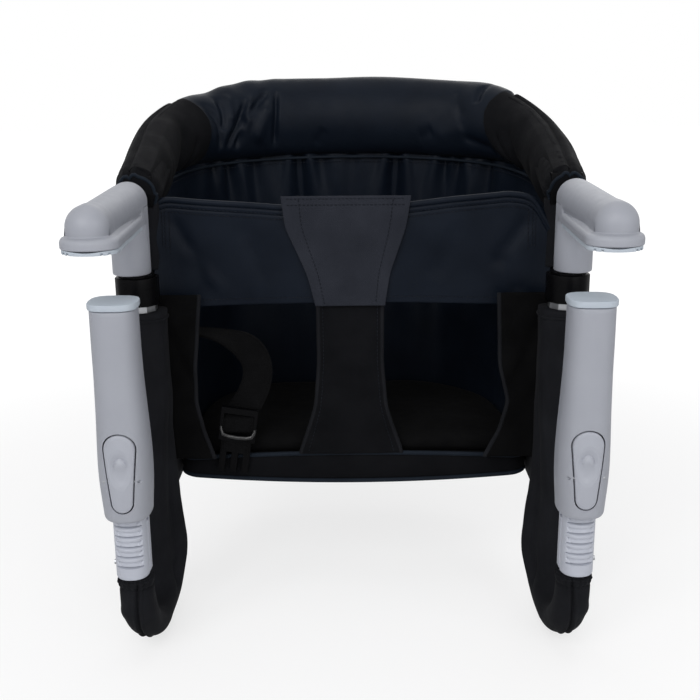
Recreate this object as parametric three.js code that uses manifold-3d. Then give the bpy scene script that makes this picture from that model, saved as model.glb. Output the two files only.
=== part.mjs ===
// Hook-on table chair: a fabric child seat on two C-shaped arms that grip a table's edge.
// Millimetres, +Z up. The origin is on the table top, at its edge, midway between the arms.
// -Y runs onto the table and +Y towards the seat.
import * as THREE from "three";
import { mergeVertices } from "three/addons/utils/BufferGeometryUtils.js";
import Module from "manifold-3d";

const wasm = await Module();
wasm.setup();
const DEGREE = Math.PI / 180;

// Clearances
const GAP = 0.3; // between pieces that touch
const OVERRUN = 6; // how far a cutting tool runs past what it cuts
const SWIVEL_GAP = 0.6; // round the turning leg

// Table and stance
const TABLE_THICKNESS = 40;
const SIDE_X = 170.5; // leg and post axes, from the middle
const LEG_Y = 20;
const POST_Y = -66;

// Arm tube
const TUBE_R = 9.5;
const TUBE_WALL = 1.8;
const TUBE_AXIS_Z = 18;
const TUBE_FRONT_Y = -98;
const ELBOW_R = 22;
const TUBE_SIDES = 10;
const BEND_STEPS = 5;

// Arm cover
const COVER_WALL = 2.6;
const COVER_SHIFT = 3.5; // the cover's middle lies this far outside the leg's axis
const COVER_TIP_Y = -116;
const DOME_R = 19.2;
const DOME_TOP_Z = 30.3;
const DOME_LEDGE = 4; // from the flange's tip back to the dome
const BARREL_R = 15;
const BARREL_TOP_Z = 34;
const COLUMN_BOTTOM_Z = -38;
const COLUMN_TOP_Z = 16;
const COLUMN_POWER = 2.2; // how square its section is; 2 is round
const FLANGE_R = 22.5;
const FLANGE_REAR_HALF = 13.5;
const FLANGE_REAR_Y = 3;
const FLANGE_HEIGHT = 6.6;
const FLANGE_ROUND = 2.4;
const FLANGE_STEPS = 12;
const ARCH_STEPS = 10;
const RIB_T = 3;
const BOSS_R = 4.5;
const SCREW_R = 2;
const SCREW_HEAD_R = 4;
const SCREW_HEAD_T = 2.4;
const SCREW_Y = -56;
const SCREW_ROOF = 1.2; // plastic left over the screw's tip

// Arm pad
const ARM_PAD_T = 3;
const ARM_PAD_INSET = 1.2;
const PAD_NOTCH = 2.2;
const PAD_NOTCH_X = 13;

// Ratchet rod
const ROD_HALF_X = 13.1;
const ROD_HALF_Y = 12;
const ROD_POWER = 4;
const ROD_SHOWING = 51; // below the clamp sleeve
const ROD_LENGTH = 165.4;
const STUB_LENGTH = 33; // of the arm tube, inside the rod
const RIB_PITCH = 8.3;
const RIB_HEIGHT = 4.4;
const RIB_PROUD = 1.6;
const RIB_HALF_X = 9.6;
const RIB_START = 10.4;
const RIB_COUNT = 17;
const SLOT_WIDTH = 3;
const SLOT_DEPTH = 1.5;
const SLOT_START = 20; // above the rod's lower end
const PLUG_T = 4;
const PLUG_LIP = 1;
const SPIGOT_R = 5;
const SPIGOT_LENGTH = 9;
const BOLT_R = 2;
const BOLT_HEAD_R = 4.2;
const BOLT_HEAD_T = 1.6;
const BOLT_HEIGHT = 10; // above the rod's lower end

// Clamp sleeve
const SLEEVE_LENGTH = 158.4;
const SLEEVE_CAP = 4;
const SLEEVE_TOP_HALF = 17;
const SLEEVE_BELL_HALF = 19.7;
const SLEEVE_FOOT_HALF = 17.2;
const SLEEVE_BELL_FRONT = 23;
const SLEEVE_REAR = 17.6;
const BORE_X_PLAY = 1.6;
const BORE_FRONT_PLAY = 1;
const BORE_REAR_PLAY = 1.4;
const CLAMP_PAD_T = 4.7;
const CLAMP_PAD_HALF_X = 18;
const CLAMP_PAD_HALF_Y = 17;
const CLAMP_PAD_POWER = 3;

// Release lever, its pin and its spring
const LEVER_TOP_R = 12;
const LEVER_LOW_R = 8.6;
const LEVER_TOP_DROP = 101; // from the sleeve's top to the upper circle
const LEVER_LOW_DROP = 142;
const LEVER_GAP = 0.6;
const LEVER_PROUD = 0.8;
const LEVER_THICK = 4.4;
const LEVER_BACK = 1.6; // of its lower half, clear of the ribs
const LEVER_STEPS = 9; // round each end of its outline
const DIMPLE_R = 26;
const DIMPLE_DEPTH = 1.1;
const PIN_R = 1.5;
const PIN_HALF = 13.4;
const PIN_DROP = 126;
const PIN_BEHIND = 4.2; // from the bell's front
const PIN_BOSS_R = 3;
const PAWL_HALF = 7;
const PAWL_T = 3;
const PAWL_DROP = 142.2;
const PAWL_GAP = 0.4;
const SPRING_R = 2.9;
const SPRING_HALF = 2.6;

// Leg collar, bush and hoop bracket
const BUSH_T = 1.6;
const BUSH_FLANGE = 1.6;
const RING_HEIGHT = 22;
const RING_WALL = 5;
const COLLAR_HEIGHT = 5;
const COLLAR_WALL = 5;
const BRACKET_FRONT = 20.5; // behind the leg's axis
const BRACKET_DEPTH = 16;
const BRACKET_WALL = 2.6;
const BRACKET_STEM_HALF = 8;

// Boot and leg sleeve
const BOOT_MOUTH_X = 13.6;
const BOOT_LEG_X = 22;
const BOOT_MOUTH_T = 12.8;
const BOOT_BEND_T = 15.5;
const BOOT_TOP_Z = -205;
const BOOT_POWER = 3;
const BOOT_FLARE = 1.8; // how late it widens; 1 is evenly
const BOOT_SIDES = 16;
const MOUTH_DROP = 15.6; // from the rod's lower end to the start of the bend
const LEG_SLEEVE_HALF_X = 21.5;
const LEG_SLEEVE_HALF_Y = 16.3;
const LEG_SLEEVE_POWER = 3.5;

// Backrest hoop
const HOOP_FRONT_Y = 44;
const HOOP_FRONT_Z = 23.5;
const HOOP_SLOPE = 18.3 * DEGREE;
const HOOP_BACK_Y = 243;
const HOOP_TURN_Y = 80;
const HOOP_POWER = 3.1;
const HOOP_STEPS = 22;
const HOOP_SIDE_STEPS = 2; // of them on each straight side
const RIM_R = 15.5;

// Seat tub
const TUB_FRONT_Y = 41;
const TUB_BOTTOM_HALF = 153.5;
const TUB_BOTTOM_BACK_Y = 236;
const TUB_BOTTOM_Z = -226;
const SHELL_T = 3.2;
const LINING_T = 8;
const LINING_FRONT_Y = 60;
const BAND_T = 15;
const BAND_END_STEPS = 3; // hoop steps from each front end to the band's end
const BAND_BACK_Z = 37; // lower seam, at the middle of the back
const BAND_SIDE_Z = 25;
const PAN_T = 22;
const PAN_FRONT_Y = 50;
const PAN_CORNER = 10;
const CORNER_STEPS = 4;
const PAD_EDGE_T = 12;
const PAD_CROWN = 5;
const PAD_DRAW = 3;

// Front, crotch and side panels
const PANEL_Y = 50.2;
const PANEL_T = 4;
const PANEL_HALF = 157.5;
const PANEL_TOP_Z = 17.5;
const PANEL_SAG = 6;
const PANEL_STEPS = 12;
const PANEL_BOTTOM_Z = -72;
const FLAP_T = 3;
const FLAP_TOP_HALF = 52;
const FLAP_MID_HALF = 46;
const FLAP_TOP_Z = 18.5;
const FLAP_MID_Z = -7;
const CROTCH_NECK_HALF = 27;
const CROTCH_FOOT_HALF = 42;
const CROTCH_NECK_Z = -122;
const GUSSET_T = 3;
const GUSSET_TOP_X = 120;
const GUSSET_MID_X = 129;
const GUSSET_FOOT_X = 111;
const GUSSET_MID_Z = -152;
const GUSSET_OUT = 14; // past the leg's axis

// Waist belt and its buckle
const BELT_WIDTH = 24;
const BELT_T = 1.6;
const BUCKLE_HALF = 15.5;
const BUCKLE_T = 6;
const BUCKLE_Y = 43.2;
const BUCKLE_IN = 58.5; // from the tub's side to the buckle's middle
const BUCKLE_TOP_Z = -160;
const BUCKLE_PLATE = 29;
const BUCKLE_NECK = 10;
const PRONG_LENGTH = 18;
const PRONG_WIDTH = 5.5;
const SLOT_BAR = 5;
const FEMALE_LENGTH = 34;
const FEMALE_HALF = 17.5;
const FEMALE_T = 11;
const FEMALE_WALL = 2;
const FEMALE_Y = 82;
const BELT_ANCHOR_Z = -104;

// Heights that follow
const SLEEVE_TOP_Z = -TABLE_THICKNESS - CLAMP_PAD_T - GAP;
const SLEEVE_BOTTOM_Z = SLEEVE_TOP_Z - SLEEVE_LENGTH;
const ROD_BOTTOM_Z = SLEEVE_BOTTOM_Z - ROD_SHOWING;
const ROD_TOP_Z = ROD_BOTTOM_Z + ROD_LENGTH;
const BEND_CENTRE_Z = ROD_BOTTOM_Z - MOUTH_DROP;
const BEND_R = (LEG_Y - POST_Y) / 2;
const COVER_BASE_Z = ARM_PAD_T + GAP;
const RING_TOP_Z = COLUMN_BOTTOM_Z - GAP - BUSH_FLANGE - GAP;
const RING_BOTTOM_Z = RING_TOP_Z - RING_HEIGHT;
const COLLAR_TOP_Z = RING_BOTTOM_Z - GAP;
const LEG_SLEEVE_TOP_Z = COLLAR_TOP_Z - COLLAR_HEIGHT - SWIVEL_GAP;
const RIM_DROP = RIM_R / Math.cos(HOOP_SLOPE) + GAP; // from the hoop's axis to the tub's top edge
const RIB_FRONT_Y = POST_Y - ROD_HALF_Y - RIB_PROUD;
const PIN_Y = POST_Y - SLEEVE_BELL_FRONT + PIN_BEHIND;
const PIN_Z = SLEEVE_TOP_Z - PIN_DROP;
const PAN_TOP_Z = TUB_BOTTOM_Z + PAN_T;
const BUCKLE_X = BUCKLE_IN - TUB_BOTTOM_HALF;

// Finishes
const GREY = { color: 0xa9abb0, roughness: 0.55, metalness: 0 };
const LIGHT_GREY = { color: 0xb6b9bc, roughness: 0.8, metalness: 0 };
const STEEL = { color: 0x8d9094, roughness: 0.35, metalness: 1 };
const BLACK_PLASTIC = { color: 0x17181a, roughness: 0.45, metalness: 0 };
const OUTER_FABRIC = { color: 0x151416, roughness: 0.85, metalness: 0 };
const LINING_FABRIC = { color: 0x0d0f15, roughness: 0.55, metalness: 0 };
const WEBBING = { color: 0x121316, roughness: 0.8, metalness: 0 };

const at = (x, y, z) => new THREE.Vector3(x, y, z);
const ACROSS = at(1, 0, 0);
const FORWARD = at(0, -1, 0);

// Closed solids for cutting and joining
function solidOf(geometry) {
  const bare = geometry.index ? geometry.toNonIndexed() : geometry.clone();
  bare.deleteAttribute("normal");
  bare.deleteAttribute("uv");
  const merged = mergeVertices(bare, 1e-4);
  const vertProperties = new Float32Array(merged.attributes.position.array);
  const triVerts = new Uint32Array(merged.index.array);
  return new wasm.Manifold(new wasm.Mesh({ numProp: 3, vertProperties, triVerts }));
}

function geometryOf(solid) {
  const mesh = solid.getMesh();
  const geometry = new THREE.BufferGeometry();
  geometry.setAttribute("position", new THREE.BufferAttribute(new Float32Array(mesh.vertProperties), 3));
  geometry.setIndex(new THREE.BufferAttribute(new Uint32Array(mesh.triVerts), 1));
  const flat = geometry.toNonIndexed();
  flat.computeVertexNormals();
  return flat;
}

const cut = (body, ...tools) =>
  geometryOf(tools.reduce((left, tool) => left.subtract(solidOf(tool)), solidOf(body)));
const fuse = (body, ...others) =>
  geometryOf(others.reduce((whole, other) => whole.add(solidOf(other)), solidOf(body)));
const common = (a, b) => geometryOf(solidOf(a).intersect(solidOf(b)));

// A box between two corners
function block(x0, x1, y0, y1, z0, z1) {
  const box = new THREE.BoxGeometry(x1 - x0, y1 - y0, z1 - z0);
  return box.translate((x0 + x1) / 2, (y0 + y1) / 2, (z0 + z1) / 2);
}

// A round bar from one end to the other
function bar(radius, from, to) {
  const way = to.clone().sub(from);
  const cylinder = new THREE.CylinderGeometry(radius, radius, way.length(), TUBE_SIDES);
  const turn = new THREE.Quaternion().setFromUnitVectors(new THREE.Vector3(0, 1, 0), way.clone().normalize());
  const middle = from.clone().add(to).divideScalar(2);
  return cylinder.applyQuaternion(turn).translate(middle.x, middle.y, middle.z);
}

const uprightBar = (radius, y, z0, z1) => bar(radius, at(0, y, z0), at(0, y, z1));


// A ring about an upright axis, with a round bore
function ring(outer, bore, height) {
  const profile = [
    new THREE.Vector2(bore, 0),
    new THREE.Vector2(outer, 0),
    new THREE.Vector2(outer, height),
    new THREE.Vector2(bore, height),
    new THREE.Vector2(bore, 0),
  ];
  return new THREE.LatheGeometry(profile, TUBE_SIDES).rotateX(Math.PI / 2);
}

// A route of straight runs and round bends, drawn only at the points it is given
class BentRoute extends THREE.Curve {
  constructor(points) {
    super();
    this.points = points;
  }
  getPoint(t, target = new THREE.Vector3()) {
    const place = t * (this.points.length - 1);
    const before = Math.min(Math.floor(place), this.points.length - 2);
    return target.lerpVectors(this.points[before], this.points[before + 1], place - before);
  }
  getPointAt(u, target) {
    return this.getPoint(u, target);
  }
  getTangentAt(u, target) {
    return this.getTangent(u, target);
  }
  getSpacedPoints(count) {
    return this.getPoints(count);
  }
}

// Rounds each corner of a route, apart from its two ends
function bend(corners, radii, steps) {
  const points = [corners[0]];
  corners.slice(1, -1).forEach((corner, i) => {
    const back = corners[i].clone().sub(corner).normalize();
    const on = corners[i + 2].clone().sub(corner).normalize();
    const half = back.angleTo(on) / 2;
    const reach = radii[i] / Math.tan(half);
    const middle = back.clone().add(on).normalize().multiplyScalar(radii[i] / Math.sin(half)).add(corner);
    const start = corner.clone().addScaledVector(back, reach).sub(middle);
    const end = corner.clone().addScaledVector(on, reach).sub(middle);
    const sweep = start.angleTo(end);
    for (let k = 0; k <= steps; k++) {
      const share = k / steps;
      const arm = start.clone().multiplyScalar(Math.sin((1 - share) * sweep) / Math.sin(sweep));
      arm.addScaledVector(end, Math.sin(share * sweep) / Math.sin(sweep));
      const point = arm.add(middle);
      if (point.distanceTo(points[points.length - 1]) > GAP) points.push(point);
    }
  });
  points.push(corners[corners.length - 1]);
  return points;
}

// A tube along a route; a bore of zero makes a bar
function tube(points, radius, bore = 0) {
  const section = new THREE.Shape().absarc(0, 0, radius, 0, 2 * Math.PI);
  if (bore > 0) section.holes.push(new THREE.Path().absarc(0, 0, bore, 0, 2 * Math.PI, true));
  return new THREE.ExtrudeGeometry(section, {
    steps: points.length - 1,
    curveSegments: TUBE_SIDES / 2,
    extrudePath: new BentRoute(points),
  });
}

// Joins rings of points, all with the same count, into one closed skin
function loft(rings) {
  const count = rings[0].length;
  const points = rings.flat();
  const faces = [];
  for (let i = 0; i < rings.length - 1; i++) {
    for (let j = 0; j < count; j++) {
      const a = i * count + j;
      const b = i * count + ((j + 1) % count);
      faces.push([a, b, b + count], [a, b + count, a + count]);
    }
  }
  const first = capOf(rings[0]);
  const last = capOf(rings[rings.length - 1]).map((face) => face.map((k) => k + points.length - count));
  const start = first.map(([a, b, c]) => [a, c, b]);
  const all = [...faces, ...start, ...last];
  const volume = all.reduce((sum, [a, b, c]) => sum + points[a].dot(points[b].clone().cross(points[c])), 0);
  const out = volume < 0 ? all.map(([a, b, c]) => [a, c, b]) : all;
  const geometry = new THREE.BufferGeometry().setFromPoints(out.flat().map((k) => points[k]));
  geometry.computeVertexNormals();
  return geometry;
}

// Triangles that close a flat ring, in the ring's own sense of turning
function capOf(points) {
  const normal = new THREE.Vector3();
  points.forEach((point, i) => normal.add(point.clone().cross(points[(i + 1) % points.length])));
  normal.normalize();
  const right = Math.abs(normal.z) < Math.SQRT1_2 ? at(0, 0, 1).cross(normal) : at(0, 1, 0).cross(normal);
  right.normalize();
  const up = normal.clone().cross(right);
  const flat = points.map((point) => new THREE.Vector2(point.dot(right), point.dot(up)));
  return THREE.ShapeUtils.triangulateShape(flat, []);
}

// A ring of squared-off oval section in the plane of two directions
function oval(centre, right, up, sizes, power = 2.5, count = 20) {
  const { half, front, rear = front } = sizes;
  const points = [];
  for (let i = 0; i < count; i++) {
    const angle = (2 * Math.PI * i) / count;
    const across = Math.sign(Math.cos(angle)) * Math.abs(Math.cos(angle)) ** (2 / power);
    const along = Math.sign(Math.sin(angle)) * Math.abs(Math.sin(angle)) ** (2 / power);
    const reach = along > 0 ? front : rear;
    points.push(centre.clone().addScaledVector(right, half * across).addScaledVector(up, reach * along));
  }
  return points;
}

// The two circles of the release lever and the window round it, run together into one outline
function teardrop(inset) {
  const shape = new THREE.Shape();
  const top = -LEVER_TOP_DROP;
  const low = -LEVER_LOW_DROP;
  const lean = Math.asin((LEVER_TOP_R - LEVER_LOW_R) / (top - low));
  shape.absarc(0, top, LEVER_TOP_R - inset, -lean, Math.PI + lean);
  shape.absarc(0, low, LEVER_LOW_R - inset, Math.PI + lean, 2 * Math.PI - lean);
  return shape;
}

// The same outline as a block from one depth to another, measured along Y
function teardropBlock(inset, y0, y1) {
  const settings = { depth: y1 - y0, bevelEnabled: false, curveSegments: LEVER_STEPS };
  const body = new THREE.ExtrudeGeometry(teardrop(inset), settings);
  return body.rotateX(Math.PI / 2).translate(0, y1, SLEEVE_TOP_Z);
}

// Arm tube: arm, elbow, leg, bottom bend and the stub that carries the rod
const ARM_ROUTE = bend(
  [
    at(0, TUBE_FRONT_Y, TUBE_AXIS_Z),
    at(0, LEG_Y, TUBE_AXIS_Z),
    at(0, LEG_Y, BEND_CENTRE_Z - BEND_R),
    at(0, POST_Y, BEND_CENTRE_Z - BEND_R),
    at(0, POST_Y, ROD_BOTTOM_Z + STUB_LENGTH),
  ],
  [ELBOW_R, BEND_R, BEND_R],
  BEND_STEPS,
);
const armChannel = tube(ARM_ROUTE, TUBE_R + GAP);
const boltLine = (half, radius) =>
  bar(radius, at(-half, POST_Y, ROD_BOTTOM_Z + BOLT_HEIGHT), at(half, POST_Y, ROD_BOTTOM_Z + BOLT_HEIGHT));
const screwLine = (radius, z0, z1) => uprightBar(radius, SCREW_Y, z0, z1);

function armTube() {
  const body = tube(ARM_ROUTE, TUBE_R, TUBE_R - TUBE_WALL);
  const screwHole = screwLine(SCREW_R + GAP, 0, TUBE_AXIS_Z + TUBE_R + GAP);
  return cut(body, boltLine(ROD_HALF_X, BOLT_R + GAP), screwHole);
}

// A ring of the barrel: upright sides from the base, with a round top
function arch(y, half, top, inset, base) {
  const radius = half - inset;
  const shoulder = top - half;
  const points = [at(COVER_SHIFT + radius, y, base)];
  for (let i = 0; i <= ARCH_STEPS; i++) {
    const angle = (Math.PI * i) / ARCH_STEPS;
    const height = Math.max(shoulder + radius * Math.sin(angle), base + GAP);
    points.push(at(COVER_SHIFT + radius * Math.cos(angle), y, height));
  }
  points.push(at(COVER_SHIFT - radius, y, base));
  return points;
}

// The barrel from its domed front to the leg; each row gives the way along, the dome's share
// of the width and the barrel's share of the rise
const domeAngles = [20, 40, 60, 78];
const barrelShares = [
  [0, 1, 0],
  [0.16, 0.86, 0.02],
  [0.3, 0.45, 0.1],
  [0.5, 0.2, 0.35],
  [1, 0, 1],
];
function barrel(inset, rearY, base) {
  const domeY = COVER_TIP_Y + DOME_LEDGE + DOME_R;
  const rings = domeAngles.map((angle) => {
    const share = Math.sin(angle * DEGREE);
    const y = domeY - (DOME_R - inset) * Math.cos(angle * DEGREE);
    const half = inset + (DOME_R - inset) * share;
    const top = COVER_BASE_Z + (DOME_TOP_Z - COVER_BASE_Z) * share;
    return arch(y, half, top, inset, base);
  });
  barrelShares.forEach(([along, domeShare, riseShare]) => {
    const y = domeY + (rearY - domeY) * along;
    const half = BARREL_R + (DOME_R - BARREL_R) * domeShare;
    rings.push(arch(y, half, DOME_TOP_Z + (BARREL_TOP_Z - DOME_TOP_Z) * riseShare, inset, base));
  });
  return loft(rings);
}

// Outline of the flange and the pad: round in front, narrower at the rear
function flangeOutline(inset, z) {
  const radius = FLANGE_R - inset;
  const middleY = COVER_TIP_Y + FLANGE_R;
  const points = [at(COVER_SHIFT - FLANGE_REAR_HALF + inset, FLANGE_REAR_Y - inset, z)];
  for (let i = 0; i <= FLANGE_STEPS; i++) {
    const angle = Math.PI * (1 + i / FLANGE_STEPS);
    points.push(at(COVER_SHIFT + radius * Math.cos(angle), middleY + radius * Math.sin(angle), z));
  }
  points.push(at(COVER_SHIFT + FLANGE_REAR_HALF - inset, FLANGE_REAR_Y - inset, z));
  return points;
}

// The outer form of barrel, column and flange together, less its hollow and the tube's channel
const columnCapAngles = [30, 55, 80];
function coverWhole() {
  const shoulderZ = BARREL_TOP_Z - BARREL_R;
  const columnRings = [COLUMN_BOTTOM_Z, shoulderZ].map((z) => columnRing(z, BARREL_R));
  columnCapAngles.forEach((angle) => {
    const z = shoulderZ + BARREL_R * Math.sin(angle * DEGREE);
    columnRings.push(columnRing(z, BARREL_R * Math.cos(angle * DEGREE)));
  });
  const flangeTop = COVER_BASE_Z + FLANGE_HEIGHT;
  const flange = loft([
    flangeOutline(0, COVER_BASE_Z),
    flangeOutline(0, flangeTop - FLANGE_ROUND),
    flangeOutline(FLANGE_ROUND / 3, flangeTop - FLANGE_ROUND / 3),
    flangeOutline(FLANGE_ROUND, flangeTop),
  ]);
  const outer = fuse(barrel(0, LEG_Y, COVER_BASE_Z), loft(columnRings), flange);
  const tubeTop = TUBE_AXIS_Z + TUBE_R;
  const ribs = [TUBE_FRONT_Y + OVERRUN, SCREW_Y + ELBOW_R].map((y) =>
    block(-FLANGE_R, FLANGE_R + COVER_SHIFT, y, y + RIB_T, COVER_BASE_Z + GAP, BARREL_TOP_Z),
  );
  const boss = screwLine(BOSS_R, tubeTop + GAP, BARREL_TOP_Z);
  const room = barrel(COVER_WALL, LEG_Y - BARREL_R - COVER_WALL, COVER_BASE_Z - OVERRUN);
  const hollow = cut(room, ...ribs, boss);
  const screwHole = screwLine(SCREW_R + GAP, TUBE_AXIS_Z, DOME_TOP_Z - SCREW_ROOF + GAP);
  return cut(outer, hollow, armChannel, screwHole);
}

function columnRing(z, radius) {
  return oval(at(COVER_SHIFT, LEG_Y, z), ACROSS, FORWARD, { half: radius, front: radius }, COLUMN_POWER);
}

// The barrel and the column are two mouldings, with a joint line between them
const columnSpace = (gap) =>
  block(-SIDE_X, SIDE_X, LEG_Y - BARREL_R - gap, SIDE_X, COLUMN_BOTTOM_Z - OVERRUN, COLUMN_TOP_Z + gap);
const wholeCover = coverWhole();
const armCover = () => cut(wholeCover, columnSpace(GAP));
const columnCover = () => common(wholeCover, columnSpace(0));

function armPad() {
  const plate = loft([flangeOutline(ARM_PAD_INSET, 0), flangeOutline(ARM_PAD_INSET, ARM_PAD_T)]);
  const notchRearY = COVER_TIP_Y + FLANGE_R / 2;
  const notches = [-PAD_NOTCH_X, PAD_NOTCH_X].map((side) => {
    const x = COVER_SHIFT + side;
    return block(x - PAD_NOTCH, x, COVER_TIP_Y, notchRearY, -GAP, ARM_PAD_T / 2);
  });
  return cut(plate, ...notches);
}

function coverScrew() {
  const headBottom = TUBE_AXIS_Z - TUBE_R - GAP - SCREW_HEAD_T;
  const head = screwLine(SCREW_HEAD_R, headBottom, headBottom + SCREW_HEAD_T);
  const shank = screwLine(SCREW_R, headBottom, DOME_TOP_Z - SCREW_ROOF);
  return fuse(head, shank);
}

// Ratchet rod: a bar with cross ribs on its front, a guide slot and a bore for the stub
function rodRing(z, playX = 0, playFront = 0, playRear = 0) {
  const sizes = { half: ROD_HALF_X + playX, front: ROD_HALF_Y + playFront, rear: ROD_HALF_Y + playRear };
  return oval(at(0, POST_Y, z), ACROSS, FORWARD, sizes, ROD_POWER);
}

// One cross rib, sloped underneath
function rodRib(k) {
  const z = ROD_BOTTOM_Z + RIB_START + k * RIB_PITCH;
  const rootY = RIB_FRONT_Y + 2 * RIB_PROUD;
  const end = (x) => [
    at(x, rootY, z),
    at(x, RIB_FRONT_Y, z + RIB_PROUD),
    at(x, RIB_FRONT_Y, z + RIB_HEIGHT),
    at(x, rootY, z + RIB_HEIGHT),
  ];
  return loft([end(-RIB_HALF_X), end(RIB_HALF_X)]);
}

function ratchetRod() {
  const body = loft([rodRing(ROD_BOTTOM_Z), rodRing(ROD_TOP_Z)]);
  const ribs = Array.from({ length: RIB_COUNT }, (_, k) => rodRib(k));
  const slotFloorX = SLOT_DEPTH - ROD_HALF_X;
  const slotFront = POST_Y - SLOT_WIDTH / 2;
  const slotRear = slotFront + SLOT_WIDTH;
  const slotStartZ = ROD_BOTTOM_Z + SLOT_START;
  const slot = block(-ROD_HALF_X - OVERRUN, slotFloorX, slotFront, slotRear, slotStartZ, ROD_TOP_Z + OVERRUN);
  const stubTopZ = ROD_BOTTOM_Z + STUB_LENGTH + GAP;
  const stubBore = uprightBar(TUBE_R + GAP, POST_Y, ROD_BOTTOM_Z - OVERRUN, stubTopZ);
  const spigotFootZ = ROD_TOP_Z - SPIGOT_LENGTH - GAP;
  const spigotBore = uprightBar(SPIGOT_R + GAP, POST_Y, spigotFootZ, ROD_TOP_Z + OVERRUN);
  const boltHole = boltLine(ROD_HALF_X + OVERRUN, BOLT_R + GAP);
  const headZ = ROD_BOTTOM_Z + BOLT_HEIGHT;
  const headStart = at(-ROD_HALF_X - OVERRUN, POST_Y, headZ);
  const headHole = bar(BOLT_HEAD_R + GAP, headStart, at(BOLT_HEAD_T + GAP - ROD_HALF_X, POST_Y, headZ));
  return cut(fuse(body, ...ribs), slot, stubBore, spigotBore, boltHole, headHole);
}

function rodBolt() {
  const z = ROD_BOTTOM_Z + BOLT_HEIGHT;
  const head = bar(BOLT_HEAD_R, at(-ROD_HALF_X, POST_Y, z), at(BOLT_HEAD_T - ROD_HALF_X, POST_Y, z));
  const shank = bar(BOLT_R, at(-ROD_HALF_X, POST_Y, z), at(ROD_HALF_X - GAP, POST_Y, z));
  return fuse(head, shank);
}

function rodPlug() {
  const cap = loft([ROD_TOP_Z + GAP, ROD_TOP_Z + PLUG_T].map((z) => rodRing(z, PLUG_LIP, 0, PLUG_LIP)));
  return fuse(cap, uprightBar(SPIGOT_R, POST_Y, ROD_TOP_Z - SPIGOT_LENGTH, ROD_TOP_Z + PLUG_T));
}

// Clamp sleeve: oval, wider round the release lever
const sleeveShares = [
  [0, 0, 0],
  [0.3, 0.11, 0.14],
  [0.5, 0.52, 0.5],
  [0.62, 0.84, 0.8],
  [0.74, 1, 1],
  [0.84, 0.86, 0.98],
  [0.93, 0.44, 0.9],
];
function sleeveForm(push) {
  const foot = { half: SLEEVE_FOOT_HALF, front: SLEEVE_BELL_FRONT - (SLEEVE_BELL_HALF - SLEEVE_FOOT_HALF) };
  const rings = sleeveShares.map(([down, wide, deep]) => ({
    z: SLEEVE_TOP_Z - SLEEVE_LENGTH * down,
    half: SLEEVE_TOP_HALF + (SLEEVE_BELL_HALF - SLEEVE_TOP_HALF) * wide,
    front: SLEEVE_TOP_HALF + (SLEEVE_BELL_FRONT - SLEEVE_TOP_HALF) * deep,
  }));
  rings.push({ z: SLEEVE_BOTTOM_Z, ...foot });
  return loft(
    rings.map(({ z, half, front }) =>
      oval(at(0, POST_Y, z), ACROSS, FORWARD, { half, front: front + push, rear: SLEEVE_REAR }),
    ),
  );
}

function clampSleeve() {
  const hollow = loft([
    rodRing(SLEEVE_BOTTOM_Z - OVERRUN, BORE_X_PLAY, RIB_PROUD + BORE_FRONT_PLAY, BORE_REAR_PLAY),
    rodRing(SLEEVE_TOP_Z - SLEEVE_CAP, BORE_X_PLAY, RIB_PROUD + BORE_FRONT_PLAY, BORE_REAR_PLAY),
  ]);
  const window = teardropBlock(0, POST_Y - SLEEVE_BELL_FRONT - OVERRUN, RIB_FRONT_Y);
  return cut(sleeveForm(0), hollow, window, pinLine(PIN_R + GAP, SIDE_X));
}

function clampPad() {
  const sizes = { half: CLAMP_PAD_HALF_X, front: CLAMP_PAD_HALF_Y };
  const heights = [-TABLE_THICKNESS - CLAMP_PAD_T, -TABLE_THICKNESS];
  return loft(heights.map((z) => oval(at(0, POST_Y, z), ACROSS, FORWARD, sizes, CLAMP_PAD_POWER)));
}

// A bar along the lever's pin
const pinLine = (radius, half) => bar(radius, at(-half, PIN_Y, PIN_Z), at(half, PIN_Y, PIN_Z));
const leverPin = () => pinLine(PIN_R, PIN_HALF);

// Torsion spring, as one ring round the pin
function leverSpring() {
  const turns = ring(SPRING_R, PIN_R + GAP, 2 * SPRING_HALF).translate(0, 0, -SPRING_HALF);
  return turns.rotateY(Math.PI / 2).translate(0, PIN_Y, PIN_Z);
}

// Release lever: finger plate above the pin, pawl below it
function releaseLever() {
  const bellFrontY = POST_Y - SLEEVE_BELL_FRONT;
  const upperBack = bellFrontY + LEVER_THICK;
  const lowerBack = RIB_FRONT_Y - LEVER_BACK;
  const drop = teardropBlock(LEVER_GAP, bellFrontY - OVERRUN, lowerBack);
  const relief = block(-SIDE_X, SIDE_X, upperBack, POST_Y, PIN_Z + PIN_BOSS_R, SLEEVE_TOP_Z);
  const plate = cut(common(drop, sleeveForm(LEVER_PROUD)), relief);
  const pawlTop = SLEEVE_TOP_Z - PAWL_DROP + PAWL_T / 2;
  const pawlTip = RIB_FRONT_Y - PAWL_GAP;
  const pawl = block(-PAWL_HALF, PAWL_HALF, lowerBack - PAWL_T, pawlTip, pawlTop - PAWL_T, pawlTop);
  const roomR = SPRING_R + GAP;
  const roomHalf = SPRING_HALF + GAP;
  const springRoom = pinLine(roomR, roomHalf);
  const springDoor = block(-roomHalf, roomHalf, PIN_Y, POST_Y, PIN_Z - roomR, PIN_Z + roomR);
  const dimple = new THREE.SphereGeometry(DIMPLE_R, 2 * LEVER_STEPS, LEVER_STEPS);
  const dimpleY = bellFrontY - LEVER_PROUD - DIMPLE_R + DIMPLE_DEPTH;
  dimple.translate(0, dimpleY, SLEEVE_TOP_Z - LEVER_TOP_DROP - LEVER_LOW_R);
  return cut(fuse(plate, pawl), pinLine(PIN_R + GAP, SIDE_X), springRoom, springDoor, dimple);
}

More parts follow.
